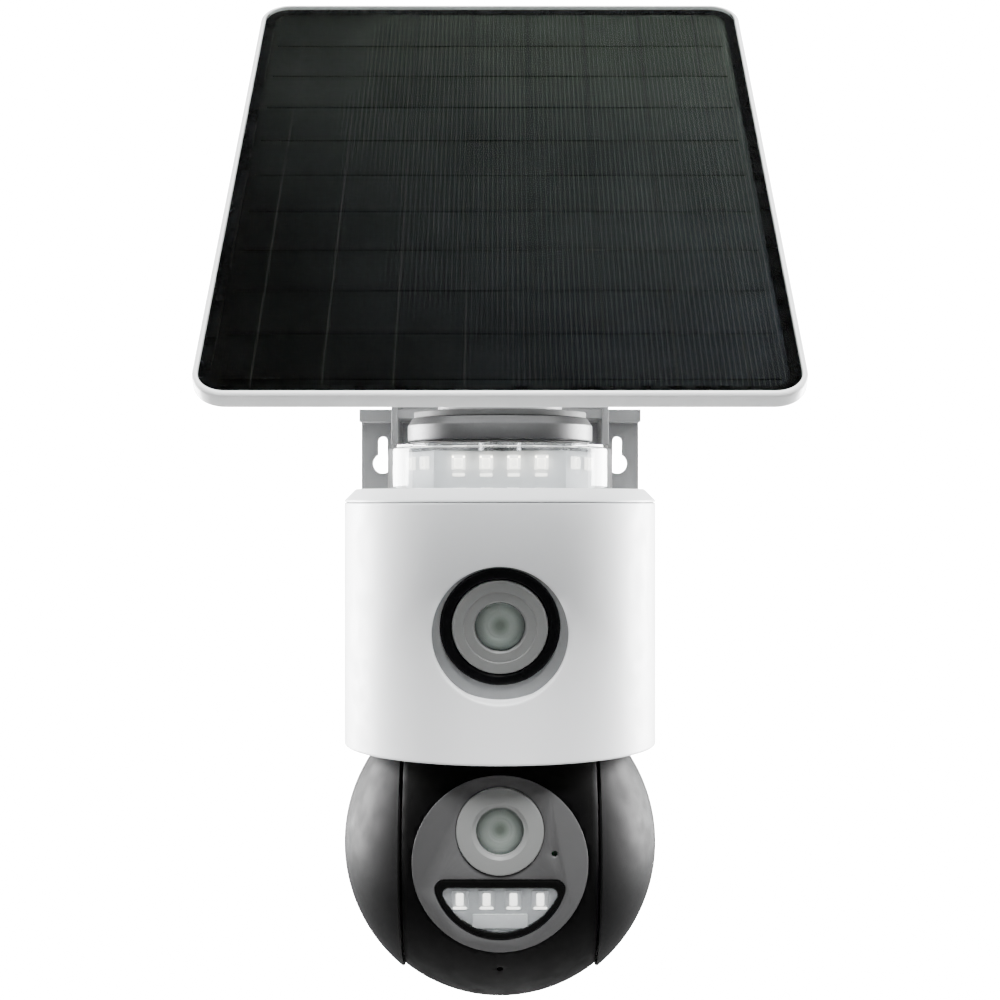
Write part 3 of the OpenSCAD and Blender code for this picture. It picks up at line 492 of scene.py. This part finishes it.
finish = {
    "bracket_grey": moulded("bracket_grey", (0.190, 0.192, 0.194), 0.5, 0.015, 0.3, Specular_IOR_Level=0.3),
    "pin_steel": metal("pin_steel", (0.62, 0.62, 0.63), 0.28, (0.05, 1, 1), 0.4, 0.002),
    "knob_plastic": moulded("knob_plastic", (0.06, 0.06, 0.065), 0.5, 0.03, 0.5),
    "panel_white": moulded("panel_white", (0.80, 0.81, 0.81), 0.4, 0.008, 0.3),
    "panel_glass": panelGlassFinish("panel_glass"),
    "solar_cell": cellFinish("solar_cell"),
    "cell_backing": cellFinish("cell_backing", backingLook),
    "screw_steel": metal("screw_steel", (0.55, 0.55, 0.56), 0.3, (1, 1, 0.1), 0.3),
    "seal_rubber": moulded("seal_rubber", (0.02, 0.02, 0.02), 0.7, 0.02, 0.3),
    "cap_grey": metal("cap_grey", (0.066, 0.066, 0.067), 0.42, (1, 1, 1), 0.4, 0.001),
    "clear_plastic": clear("clear_plastic", (0.95, 0.97, 0.98), 0.02, 1.49),
    "carrier_white": moulded("carrier_white", (0.84, 0.85, 0.86), 0.25, 0.004, 0.4),
    "led_chip": ledGlowFinish("led_chip"),
    "housing_white": moulded("housing_white", (0.80, 0.81, 0.82), 0.42, 0.008, 0.28, 0.012),
    "socket_black": moulded("socket_black", (0.010, 0.010, 0.011), 0.5, 0.02, 0.4, Specular_IOR_Level=0.2),
    "lens_ring_black": moulded("lens_ring_black", (0.0025, 0.0025, 0.003), 0.3, 0.004, 0.3,
                               Specular_IOR_Level=0.06),
    "lens_disc_grey": moulded("lens_disc_grey", (0.180, 0.184, 0.181), 0.42, 0.006, 0.25,
                              Specular_IOR_Level=0.3),
    "lens_glass": coatedGlass("lens_glass"),
    "barrel_black": moulded("barrel_black", (0.10, 0.115, 0.11), 0.35, 0.006, 0.3),
    "circuit_board": boardFinish("circuit_board"),
    "battery_wrap": wrapFinish("battery_wrap"),
    "metal_can": metal("metal_can", (0.60, 0.60, 0.60), 0.3, (1, 0.08, 1), 0.5),
    "button_red": moulded("button_red", (0.55, 0.03, 0.03), 0.4),
    "button_white": moulded("button_white", (0.75, 0.75, 0.75), 0.4),
    "gear_brass": metal("gear_brass", (0.70, 0.52, 0.22), 0.3, (1, 1, 0.1), 0.4),
    "gear_nylon": moulded("gear_nylon", (0.74, 0.71, 0.62), 0.45, Subsurface_Weight=0.1),
    "cover_grey": moulded("cover_grey", (0.0030, 0.0030, 0.0032), 0.52, 0.02, 0.35, Specular_IOR_Level=0.035),
    "band_black": moulded("band_black", (0.0012, 0.0012, 0.0013), 0.45, 0.012, 0.35, Specular_IOR_Level=0.02),
    "face_grey": moulded("face_grey", (0.060, 0.060, 0.061), 0.55, 0.012, 0.3, Specular_IOR_Level=0.3),
    "lamp_black": moulded("lamp_black", (0.0025, 0.0025, 0.0025), 0.3, 0.003, 0.3, Specular_IOR_Level=0.06),
}
# Grey of the sheet in the lens recess: painted shade on the white front
recessShadeFinish = moulded("recess_painted_shade", (0.20, 0.205, 0.208), 0.45, 0.006, 0.28, Specular_IOR_Level=0.3)
print("materials made:", len(finish))


# CAD nodes keep their shape and take a finish

for name, node in nodes.items():
    node.data.materials.clear()
    node.data.materials.append(finish[slotOf[name]])

# Radius of the soft edge on each outer part, in millimetres
edgeRadius = {
    "wall_bracket": 0.45, "hinge_lug": 0.4, "hinge_pin": 0.4, "clamp_knob": 0.7, "panel_back": 0.3,
    "junction_box": 0.6, "lug_screws": 0.15, "shell_screws": 0.15, "stem_nuts": 0.3,
    "rear_shell": 0.45, "service_flap": 0.3, "socket_cup": 0.3,
    "led_carrier": 0.25, "band_front": 0.35, "band_rear": 0.35, "yoke": 0.3, "face_plate": 0.3,
}


# Copy of a CAD node: its triangles are merged into whole faces, and a small bevel rounds its edges
def softened(node, radius):
    bm = bmesh.new()
    bm.from_mesh(nodes[node].data)
    bmesh.ops.remove_doubles(bm, verts=bm.verts, dist=1e-6)
    bmesh.ops.dissolve_limit(bm, angle_limit=math.radians(0.4), verts=bm.verts, edges=bm.edges)
    mesh = bpy.data.meshes.new(node + "_soft")
    bm.to_mesh(mesh)
    bm.free()
    piece = shaded(node + "_soft", mesh)
    bevel = piece.modifiers.new("soft_edges", "BEVEL")
    bevel.width = radius * mm
    bevel.segments = 2
    bevel.limit_method = "ANGLE"
    bevel.angle_limit = math.radians(28)
    bevel.harden_normals = True
    return fit(piece, bodyOf[node], slotOf[node], node)


for node, radius in edgeRadius.items():
    softened(node, radius)
print("soft edges on", len(edgeRadius), "parts")


# Solar panel

panelLook = {"corner": 10, "edge": 1.3, "lipEdge": 0.35, "glassGap": 0.15, "ledge": 4.5, "ledgeDrop": 0.25,
             "glassEdge": 0.3, "borderWidth": 0.5, "borderThick": 0.2}


# Frame: a closed section carried round the panel's rounded rectangle, with a ledge under the glass
def panelFrame():
    look = panelLook
    low, high = localBox("panel_frame", panelPlace)
    glassLow = localBox("panel_glass", panelPlace)[0]
    lip = glassLow[0] - low[0] - look["glassGap"]
    ledge, shelf = look["ledge"], glassLow[2] - look["ledgeDrop"]
    outline = roundRect(low, high, look["corner"])
    section = rounded([(0, low[2], look["edge"] / 2), (0, high[2], look["edge"]),
                       (lip, high[2], look["lipEdge"]), (lip, shelf), (ledge, shelf), (ledge, low[2])])
    rows = [(outline, inset, height) for inset, height in section]
    top = glassLow[2] - 0.03
    base, start, end = top - look["borderThick"], lip + 0.1, ledge + look["borderWidth"]
    border = [(outline, start, base), (outline, start, top), (outline, end, top), (outline, end, base)]
    fit(meshPiece("panel_glass_border", [swept(border, panelPlace, closed=True)]), "panel", "cell_backing",
        material=finish["lens_ring_black"])
    fit(meshPiece("panel_frame_rim", [swept(rows, panelPlace, closed=True)]), "panel", "panel_white",
        "panel_frame")


def panelGlass():
    look = panelLook
    low, high = localBox("panel_glass", panelPlace)
    edge = look["glassEdge"]
    outline = roundRect(low, high, look["corner"] - 2)
    rows = [(outline, edge, low[2]), (outline, 0, low[2] + edge), (outline, 0, high[2] - edge),
            (outline, edge, high[2])]
    fit(meshPiece("panel_glass_sheet", [swept(rows, panelPlace)]), "panel", "panel_glass", "panel_glass")


panelFrame()
panelGlass()
print("panel done")


# Cap, seals and clear ring

capLook = {"edge": 0.7, "bevel": 1.6, "slope": 1.5, "stemGap": 0.2, "sealEdge": 0.3, "sealWidth": 3.3}


def capStack():
    look = capLook
    low, high = localBox("cap_disc", upright)
    hole = localBox("stem_tube", upright)[1][0] + look["stemGap"]
    radius, bevel = high[0], look["bevel"]
    disc = rounded([(hole, low[2]), (radius, low[2], look["edge"]),
                    (radius, high[2] - bevel * look["slope"], look["edge"]),
                    (radius - bevel, high[2], look["edge"]), (hole, high[2])])
    fit(meshPiece("cap_disc_turned", [turned(disc, upright)]), "bracket", "cap_grey", "cap_disc")
    # The cap pad's black rubber is a real gasket and also painted shade: it stands in for the shadow in the
    # gap under the panel
    for node in ("cap_pad", "cap_seal"):
        low, high = localBox(node, upright)
        inner = hole if node == "cap_pad" else high[0] - look["sealWidth"]
        outer, edge = high[0], look["sealEdge"]
        section = rounded([(inner, low[2]), (outer, low[2], edge), (outer, high[2], edge), (inner, high[2])])
        fit(meshPiece(node + "_turned", [turned(section, upright)]), "bracket", "seal_rubber", node)


ringLook = {"wall": 2.4, "lip": 1.0, "shoulder": 1.3, "underCap": 5, "top": 0.6, "edge": 0.3, "softEdge": 0.8}


# Clear ring: an upright wall with a rounded shoulder and a low lip that the seal sits on
def clearRing():
    look = ringLook
    low, high = localBox("clear_ring", upright)
    outer, edge = high[0], look["edge"]
    inner = localBox("cap_disc", upright)[1][0] - look["underCap"]
    wall, shoulder = outer - look["wall"], outer - look["shoulder"]
    step = high[2] - look["lip"]
    under = step - look["top"]
    section = rounded([(wall, low[2]), (outer, low[2], edge), (outer, step, look["softEdge"]),
                       (shoulder, step, 0.1), (shoulder, high[2], edge), (inner, high[2], edge),
                       (inner, under, edge), (wall, under, edge)])
    fit(meshPiece("clear_ring_turned", [turned(section, upright)]), "bracket", "clear_plastic", "clear_ring")


lightSteps = (-1.5, -0.5, 0.5, 1.5)
ringLightLook = {"pitch": 8.4, "up": 8.1, "half": 2.0, "arm": 0.75, "bow": 0.2, "corner": 0.2,
                 "archLow": 1.7, "archThick": 0.6, "barDrop": 3.6, "barHalf": 1.8, "barRise": 0.4,
                 "barThick": 0.7}


# Front lights of the ring: an arch over a slim bar for each of the four lights, bright from the painted glow
# of the chip finish
def ringLights():
    look = ringLightLook
    low = localBox("led_carrier", upright)[0]
    middle = upright[0] + np.array([0, low[1], low[2] + look["up"]]) * mm
    where = place(middle, (1, 0, 0), (0, 0, 1), (0, -1, 0))
    half, inner, top = look["half"], look["half"] - look["arm"], look["half"] + look["bow"]
    archSize = (look["corner"], look["archLow"], look["archThick"], where)
    barSize = (look["corner"], 0, look["barThick"], where)
    barX, barY, rise = look["barHalf"], -look["barDrop"], look["barRise"]
    shells = []
    for step in lightSteps:
        x = step * look["pitch"]
        shells.append(pad(x - half, -half, x - inner, half, *archSize))
        shells.append(pad(x + inner, -half, x + half, half, *archSize))
        shells.append(pad(x - half, inner, x + half, top, *archSize))
        shells.append(pad(x - barX, barY - rise, x + barX, barY + rise, *barSize))
    fit(meshPiece("ring_light_arches", shells), "bracket", "led_chip")


capStack()
clearRing()
ringLights()
print("cap and ring done")


# Lid: the housing's outline carried up a chamfer with soft shoulders, with the stem's hole through it

lidLook = {"corner": 10, "chamfer": 3.6, "shoulder": 1.2, "lowEdge": 0.2, "flat": 9}


def bodyLid():
    look = lidLook
    low, high = localBox("body_lid", upright)
    radius, back, corner = high[0], high[1], look["corner"]
    hole = localBox("stem_tube", upright)[1][0] + capLook["stemGap"]
    outline = arcOutline([(0, 0, radius, 180, 360), (radius - corner, back - corner, corner, 0, 90),
                          (corner - radius, back - corner, corner, 90, 180)], steps=48)
    centres, radii, directions = outline
    around = centres + radii[:, None] * directions
    around /= np.linalg.norm(around, axis=1)[:, None]
    holeRing = (np.zeros_like(centres), np.full(len(radii), hole), around)
    chamfer, shoulder = look["chamfer"], look["shoulder"]
    section = rounded([(0, low[2], look["lowEdge"]), (0, high[2] - chamfer, shoulder),
                       (chamfer, high[2], shoulder), (look["flat"], high[2]), (look["flat"], low[2])])
    rows = [(outline, inset, height) for inset, height in section[:-2]]
    rows += [(holeRing, 0, high[2]), (holeRing, 0, low[2])]
    fit(meshPiece("body_lid_shell", [swept(rows, upright, closed=True)]), "bracket", "housing_white",
        "body_lid")


bodyLid()
print("lid done")


# Front shell

shellLook = {"wall": 2.2, "edge": 0.6, "boreDrop": 2.5, "boreWidth": 2.45, "floorBelowRing": 1.0,
             "seatGap": 0.06, "seatDepth": 3.2, "bossThick": 0.8, "barrelHole": 12.2, "lip": 0.5,
             "insideBore": 4, "cup": 41.8, "floorThick": 2.4, "shadeSheetRise": 0.05, "shadeSheetDepth": 0.3}

shellLow, shellHigh = localBox("front_shell", upright)
frontRadius = shellHigh[0]
shellReach = frontRadius * math.pi / 2 + shellHigh[1]
ringHigh = localBox("lens_ring", lensPlace)[1]
lensMiddle = upright[1] @ (lensPlace[0] - upright[0]) / mm
lensOut = upright[1] @ lensPlace[1][2]
seatRadius = ringHigh[0] + shellLook["seatGap"]
recessDepth = ringHigh[2] - shellLook["floorBelowRing"]
boreRadius = ringHigh[0] + shellLook["boreWidth"]
boreZ = lensMiddle[2] - shellLook["boreDrop"]


# Points of the unrolled front: the distance along is radius * angle round the front and then straight
# back, and an inset shortens the radius
def unrolled(along, height, inset):
    radius = frontRadius
    bend = np.clip(along / radius, -math.pi / 2, math.pi / 2)
    beyond = np.abs(along) - np.abs(bend) * radius
    return np.column_stack([(radius - inset) * np.sin(bend), beyond - (radius - inset) * np.cos(bend),
                            height + 0 * along])


# Round of a square from -1 to 1, as two arrays
def squareRound(sides, ends):
    level, upward = np.linspace(-1, 1, sides, endpoint=False), np.linspace(-1, 1, ends, endpoint=False)
    return (np.concatenate([level, np.ones(ends), -level, -np.ones(ends)]),
            np.concatenate([-np.ones(sides), upward, np.ones(sides), -upward]))


# Level bore of the lens recess, widened by some millimetres
def bore(turn, grow):
    return (boreRadius + grow) * np.cos(turn), boreZ + (boreRadius + grow) * np.sin(turn)


# How far forward the tilted floor of the recess is at a height, when sunk along the lens's axis
def floorY(height, sunk=0.0):
    ringTop = lensMiddle + lensOut * recessDepth
    return ringTop[1] + (-sunk - (height - ringTop[2]) * lensOut[2]) / lensOut[1]


# Circle about the lens's axis, sunk below the floor of the recess
def lensCircle(turn, radius, sunk):
    depth = np.full(len(turn), recessDepth - sunk)
    local = np.column_stack([radius * np.cos(turn), radius * np.sin(turn), depth])
    return lensMiddle + local @ (lensPlace[1] @ upright[1].T)


# Wall of the recess: from the tilted floor out to the round front, with a soft lip
def recessWall(turn):
    lip, soft = shellLook["lip"], shellLook["lip"] * 0.3
    farX, farZ = bore(turn, 0)
    nearX, nearZ = bore(turn, soft)
    farY = np.minimum(lip - np.sqrt(frontRadius ** 2 - farX ** 2), floorY(farZ) - 0.01)
    nearY = np.minimum(soft - np.sqrt(frontRadius ** 2 - nearX ** 2), floorY(nearZ) - 0.02)
    return [np.column_stack([farX, floorY(farZ), farZ]), np.column_stack([farX, farY, farZ]),
            np.column_stack([nearX, nearY, nearZ])]


# Floor of the shell: a flat band from the front's outline in to the socket cup
def shellFloor(count=120):
    look = shellLook
    along = np.linspace(-shellReach + 0.01, shellReach - 0.01, count)
    base = shellLow[2] + 0.02
    outline = unrolled(along, base, look["edge"])
    hole = outline * (look["cup"] / np.linalg.norm(outline[:, :2], axis=1))[:, None]
    hole[:, 2] = base
    rise = np.array([0, 0, look["floorThick"]])
    points = np.concatenate([outline, hole, hole + rise, outline + rise])
    ends = [[row * count + col for row in range(4)] for col in (0, count - 1)]
    return placed(points, upright), gridFaces(4, count, wrapRows=True, wrapCols=False) + ends


# Thin grey sheet on the floor of the recess, from the lens's seat to the bore: painted shade that darkens the
# recess
def recessShadeSheet(turn):
    rise, depth = shellLook["shadeSheetRise"], shellLook["shadeSheetDepth"]
    boreX, height = bore(turn, -0.04)
    rows = [lensCircle(turn, seatRadius, depth), lensCircle(turn, seatRadius, -rise),
            np.column_stack([boreX, floorY(height, -rise), height]),
            np.column_stack([boreX, floorY(height, depth), height])]
    return placed(np.concatenate(rows), upright), gridFaces(4, len(turn), wrapRows=True)


# Skin of rings: out of the lens recess, over the front to its four edges, and back inside the wall
def frontShell():
    look = shellLook
    edge, wall, hole, seatDepth = look["edge"], look["wall"], look["barrelHole"], look["seatDepth"]
    edgeX, edgeZ = squareRound(130, 44)
    outX, outZ = np.where(np.abs(edgeX) == 1, edgeX, 0), np.where(np.abs(edgeZ) == 1, edgeZ, 0)
    rimX = edgeX * (shellReach - edge)
    rimZ = (shellHigh[2] + shellLow[2]) / 2 + edgeZ * ((shellHigh[2] - shellLow[2]) / 2 - edge)
    turn = np.arctan2(rimZ - boreZ, rimX)

    # Ring at a share of the way from the widened bore to the rim
    def between(share, inset, grow):
        boreX, height = bore(turn, grow)
        along = frontRadius * np.arcsin(boreX / frontRadius)
        return unrolled(along + (rimX - along) * share, height + (rimZ - height) * share, inset)

    # Ring a little beyond the rim
    def beyond(grown, inset):
        return unrolled(rimX + outX * grown, rimZ + outZ * grown, inset)

    layers = [lensCircle(turn, hole, seatDepth), lensCircle(turn, seatRadius, seatDepth),
              lensCircle(turn, seatRadius, 0)]
    layers += recessWall(turn)
    layers += [between(share, 0, look["lip"]) for share in np.linspace(0, 1, 56)]
    for bend in np.radians([22, 45, 67, 90]):
        layers.append(beyond(edge * math.sin(bend), edge * (1 - math.cos(bend))))
    layers.append(beyond(edge, wall))
    layers += [between(share, wall, look["insideBore"]) for share in np.linspace(0.97, 0, 16)]
    back = seatDepth + look["bossThick"]
    layers += [lensCircle(turn, boreRadius, back), lensCircle(turn, hole, back)]
    skin = placed(np.concatenate(layers), upright), gridFaces(len(layers), len(turn), wrapRows=True)
    fit(meshPiece("front_shell_skin", [skin, shellFloor()]), "bracket", "housing_white", "front_shell")
    # The recess floor gets a grey sheet of painted shade
    fit(meshPiece("recess_shade_sheet", [recessShadeSheet(turn)]), "bracket", "lens_disc_grey",
        material=recessShadeFinish)


frontShell()
print("front shell done")


# Upper lens

upperLook = {"ringWidth": 3.5, "ringEdge": 0.9, "ringSlope": 0.6, "ringDrop": 1.0, "discEdge": 0.5,
             "seatGap": 0.1, "step": 0.35, "stepWidth": 3.4, "funnel": 0.5, "glassGap": 0.15,
             "rimHeight": 2.0, "glassThick": 1.0, "irisGap": 0.3, "irisDrop": 1.2, "irisDepth": 0.6}


# Glass lens: a dome that rises by an arc of a circle from its rim
def domeShell(radius, low, rim, rise, where):
    curve = (radius ** 2 + rise ** 2) / (2 * rise)
    half = math.degrees(math.asin(radius / curve))
    dome = arc((0, rim + rise - curve), curve, 90 - half, 90, 16)
    return turned(np.concatenate([[(0, low), (radius, low)], dome]), where, 96)


# Shares of the radius where the iris's rim ends, its slope ends and its step starts and ends
irisShares = (0.84, 0.62, 0.52, 0.46)


# Iris behind a lens: a flat rim, a slope, a narrow step and a flat middle
def irisShells(radius, top, depth, where):
    rim, slope, stepOut, stepIn = (share * radius for share in irisShares)
    back, step, middle = top - depth - 1, top - depth * 0.8, top - depth
    dish = rounded([(0, back), (radius, back), (radius, top), (rim, top, 0.2), (slope, step, 0.2),
                    (stepOut, step, 0.1), (stepIn, middle, 0.1), (0, middle)])
    return [turned(dish, where, 96)]


def upperLens():
    look = upperLook
    low, high = localBox("lens_ring", lensPlace)
    outer = high[0]
    inner = outer - look["ringWidth"]
    ring = rounded([(inner, low[2]), (outer, low[2]), (outer, high[2], look["ringEdge"]),
                    (inner + look["ringSlope"], high[2], 0.4), (inner, high[2] - look["ringDrop"], 0.3)])
    fit(meshPiece("lens_ring_turned", [turned(ring, lensPlace)]), "bracket", "lens_ring_black", "lens_ring")
    discLow, discHigh = localBox("lens_disc", lensPlace)
    glassLow, glassHigh = localBox("upper_lens", lensPlace)
    seat, top = glassHigh[0] + look["seatGap"], discHigh[2]
    shelf, step, funnel = top - look["step"], seat + look["stepWidth"], look["funnel"]
    disc = rounded([(seat, discLow[2]), (discHigh[0], discLow[2]), (discHigh[0], top, look["discEdge"]),
                    (step, top, 0.1), (step - 0.2, shelf, 0.1), (seat + funnel, shelf, 0.2),
                    (seat, shelf - funnel, 0.1)])
    fit(meshPiece("lens_disc_turned", [turned(disc, lensPlace)]), "bracket", "lens_disc_grey", "lens_disc")
    rim = glassLow[2] + look["rimHeight"]
    glass = domeShell(glassHigh[0] - look["glassGap"], rim - look["glassThick"], rim,
                      glassHigh[2] - rim - 0.05, lensPlace)
    fit(meshPiece("upper_lens_dome", [glass]), "bracket", "lens_glass", "upper_lens")
    iris = irisShells(glassHigh[0] - look["irisGap"], rim - look["irisDrop"], look["irisDepth"], lensPlace)
    fit(meshPiece("upper_lens_iris", iris), "bracket", "barrel_black",
        material=irisFinish("upper_iris", lensPlace, glassHigh[0]))


upperLens()
print("upper lens done")


# Ball: two domed side covers turned about the tilt axis

coverLook = {"wall": 2.0, "edge": 0.5}


# Side cover: an arc of the ball's outer radius to its pole, and the same arc inside, closed at the rim
def sideCover(name, node, where):
    look = coverLook
    low, high = localBox(node, where)
    radius, start = high[2], low[2]
    first = math.degrees(math.asin((start + look["edge"]) / radius))
    outside = arc((0, 0), radius, first, 90, 48)
    insideR = radius - look["wall"]
    inside = arc((0, 0), insideR, 90, math.degrees(math.asin(start / insideR)), 40)
    rimR = math.sqrt(radius ** 2 - start ** 2)
    profile = np.concatenate([[(rimR - look["edge"], start)], outside, inside])
    fit(meshPiece(name, [turned(profile, where, 160)]), "head", "cover_grey", node)


sideCover("right_cover_dome", "right_cover", ballRight)
sideCover("left_cover_dome", "left_cover", ballLeft)
print("side covers done")


# Lower lens unit

lowerLook = {"seat": 7.1, "depth": 3.0, "edge": 0.5, "lip": 1.4, "funnel": 0.4, "step": 0.6,
             "rimDrop": 1.6, "glassThick": 0.8, "domeRise": 1.3, "irisGap": 0.15, "irisDrop": 1.0,
             "irisDepth": 0.6}


def lowerLens():
    look = lowerLook
    high = localBox("lower_lens_unit", lowerLensPlace)[1]
    outer, top = high[0], high[2]
    seat, back, shelf = look["seat"], top - look["depth"], top - look["step"]
    ring = rounded([(seat, back), (outer, back), (outer, top, look["edge"]), (seat + look["lip"], top, 0.2),
                    (seat + look["funnel"], shelf, 0.2), (seat, shelf - 0.1, 0.1)])
    fit(meshPiece("lower_lens_ring", [turned(ring, lowerLensPlace)]), "lens_band", "lens_disc_grey",
        "lower_lens_unit")
    rim = top - look["rimDrop"]
    glass = domeShell(seat - 0.1, rim - look["glassThick"], rim, look["domeRise"], lowerLensPlace)
    fit(meshPiece("lower_lens_dome", [glass]), "lens_band", "lens_glass")
    iris = irisShells(seat - look["irisGap"], rim - look["irisDrop"], look["irisDepth"], lowerLensPlace)
    fit(meshPiece("lower_lens_iris", iris), "lens_band", "barrel_black",
        material=irisFinish("lower_iris", lowerLensPlace, seat))


lowerLens()
print("lower lens done")


# Lamp

lampLook = {"radius": 20.4, "low": 22.4, "high": 4.8, "ease": 3, "windowRadius": 18.9, "windowLow": 20.5,
            "windowHigh": 7.1, "windowEase": 2, "depth": 1.6, "trayThick": 0.5, "edge": 0.4,
            "pitch": 8.0, "rowDrop": 11.2, "paneTop": 0.3, "paneBack": 0.75}

# Each pad's half width, lower and upper edge from the row of lights, corner, rise and thickness
lampPads = {"base": (2.6, -2.6, 3.2, 0.5, 0, 0.5), "chip": (1.1, -1.3, 2.4, 0.5, 0.5, 0.3),
            "bar": (2.0, -2.4, -1.7, 0.3, 0.5, 0.3), "block": (8.2, -8.0, -3.8, 0.6, 0, 0.95)}

lampLow, lampHigh = localBox("lamp_unit", facePlace)
lampTop = lampHigh[2]
windowOutline = halfMoon(lampLook["windowRadius"], lampLook["windowLow"], lampLook["windowHigh"],
                         lampLook["windowEase"])


# Border: from the outer half-moon over a rounded edge to the window's half-moon and down its wall
def lampBorder():
    look = lampLook
    outer, inner = halfMoon(look["radius"], look["low"], look["high"], look["ease"]), windowOutline
    low, top, edge = lampLow[2], lampTop, look["edge"]
    soft = edge * 0.3
    rows = [(outer, 0, low), (outer, 0, top - edge), (outer, soft, top - soft), (outer, edge, top),
            (inner, -edge, top), (inner, -soft, top - soft), (inner, 0, top - edge), (inner, 0, low)]
    fit(meshPiece("lamp_border", [swept(rows, facePlace, closed=True)]), "lens_band", "lamp_black",
        "lamp_unit")


def lampPad(name, across, floor):
    half, low, high, corner, rise, thick = lampPads[name]
    row = -lampLook["rowDrop"]
    return pad(across - half, row + low, across + half, row + high, corner, floor + rise, thick, facePlace)


# Inside of the lamp: a pale tray with four lights in a row and a sensor block below, under a clear pane
def lampInside():
    look = lampLook
    floor = lampTop - look["depth"]
    places = [step * look["pitch"] for step in lightSteps]
    tray = swept([(windowOutline, 0.05, floor - look["trayThick"]), (windowOutline, 0.05, floor)], facePlace)
    bases = [lampPad("base", across, floor) for across in places]
    chips = [lampPad(name, across, floor) for across in places for name in ("chip", "bar")]
    pane = [(windowOutline, 0.1, lampTop - look["paneBack"]), (windowOutline, 0.1, lampTop - look["paneTop"])]
    fit(meshPiece("lamp_reflector", [tray, *bases]), "lens_band", "carrier_white")
    # The chips take the painted glow of the chip finish
    fit(meshPiece("lamp_chips", chips), "lens_band", "led_chip")
    fit(meshPiece("lamp_sensor_block", [lampPad("block", 0, floor)]), "lens_band", "carrier_white")
    fit(meshPiece("lamp_window", [swept(pane, facePlace)]), "lens_band", "clear_plastic")


lampBorder()
lampInside()
print("lamp done")


# Camera, lights and floor

stageSet = {
    "lens": 59.4, "cameraBack": 0.5329, "cameraZ": -0.0132,
    "backdrop": 24.0, "above": 0.05, "front": 0.15, "side": 0.7, "rear": 1.0, "below": 0.28,
    "sidePower": 54.0, "sideSize": 0.5, "sideAway": 0.7, "sideBack": 0.42,
    "keyPower": 70.0, "keySpot": (0.10, -0.74, 1.20), "keySize": 0.4,
    "floorZ": -1.2, "floorRadius": 1.2,
}


def makeCamera():
    data = bpy.data.cameras.new("camera")
    data.lens = stageSet["lens"]
    data.sensor_width = 36
    data.clip_end = 50
    camera = bpy.data.objects.new("camera", data)
    camera.location = (0, axisY - stageSet["cameraBack"], stageSet["cameraZ"])
    camera.rotation_euler = (math.radians(90), 0, 0)
    bpy.context.scene.collection.objects.link(camera)
    bpy.context.scene.camera = camera


# Studio surround: bright at both sides and behind, dimmer in front, and plain white where it is seen
def makeSurround():
    look = stageSet
    world = bpy.data.worlds.new("studio")
    bpy.context.scene.world = world
    world.use_nodes = True
    tree = world.node_tree
    add = tree.nodes.new
    direction = add("ShaderNodeSeparateXYZ")
    tree.links.new(add("ShaderNodeTexCoord").outputs["Generated"], direction.inputs[0])

    def worked(operation, *given):
        node = add("ShaderNodeMath")
        node.operation = operation
        for socket, value in zip(node.inputs, given):
            if isinstance(value, bpy.types.NodeSocket):
                tree.links.new(value, socket)
            else:
                socket.default_value = value
        return node.outputs[0]

    total = 0.0
    for axis, sign, name in ((0, 1, "side"), (0, -1, "side"), (1, 1, "rear"), (1, -1, "front"),
                             (2, 1, "above"), (2, -1, "below")):
        facing = worked("MAXIMUM", worked("MULTIPLY", direction.outputs[axis], sign), 0)
        total = worked("ADD", total, worked("MULTIPLY", worked("POWER", facing, 2), look[name]))
    light = tree.nodes["Background"]
    tree.links.new(total, light.inputs["Strength"])
    seen = add("ShaderNodeBackground")
    seen.inputs["Strength"].default_value = look["backdrop"]
    choose = add("ShaderNodeMixShader")
    tree.links.new(add("ShaderNodeLightPath").outputs["Is Camera Ray"], choose.inputs[0])
    tree.links.new(light.outputs[0], choose.inputs[1])
    tree.links.new(seen.outputs[0], choose.inputs[2])
    tree.links.new(choose.outputs[0], tree.nodes["World Output"].inputs["Surface"])
    for background in (light, seen):
        background.inputs["Color"].default_value = (1, 1, 1, 1)


# A square soft box that faces the object
def softBox(name, spot, size, power):
    data = bpy.data.lights.new(name, "AREA")
    data.size = size
    data.energy = power
    lamp = bpy.data.objects.new(name, data)
    aim = np.array([0, axisY, -0.05]) - spot
    tip, swing = math.acos(-aim[2] / np.linalg.norm(aim)), math.atan2(aim[1], aim[0])
    lamp.location = spot
    lamp.rotation_euler = (tip, 0, swing - math.pi / 2)
    lamp.visible_camera = False
    bpy.context.scene.collection.objects.link(lamp)


# Strong soft boxes behind the object at both sides, and a weaker one high in front
def makeLights():
    look = stageSet
    for name, side in (("left_box", -1), ("right_box", 1)):
        spot = np.array([side * look["sideAway"], axisY + look["sideBack"], -0.02])
        softBox(name, spot, look["sideSize"], look["sidePower"])
    softBox("key_box", np.array(look["keySpot"]), look["keySize"], look["keyPower"])


# Floor: rings of points on a flat disc
def makeFloor():
    look = stageSet
    rings, steps = 12, 96
    radii = np.linspace(0, look["floorRadius"], rings)[:, None]
    turn = np.linspace(0, 2 * np.pi, steps, endpoint=False)
    level = look["floorZ"] + 0 * radii * turn
    points = np.stack([radii * np.cos(turn), radii * np.sin(turn) + axisY, level], -1)
    floor = meshPiece("floor", [(points.reshape(-1, 3), gridFaces(rings, steps))])
    shade = Shade("floor_pale", (0.85, 0.85, 0.85), 0.7)
    shade.drift(0.01, 200)
    floor.data.materials.append(shade.material)


makeCamera()
makeSurround()
makeLights()
makeFloor()
print("stage set")
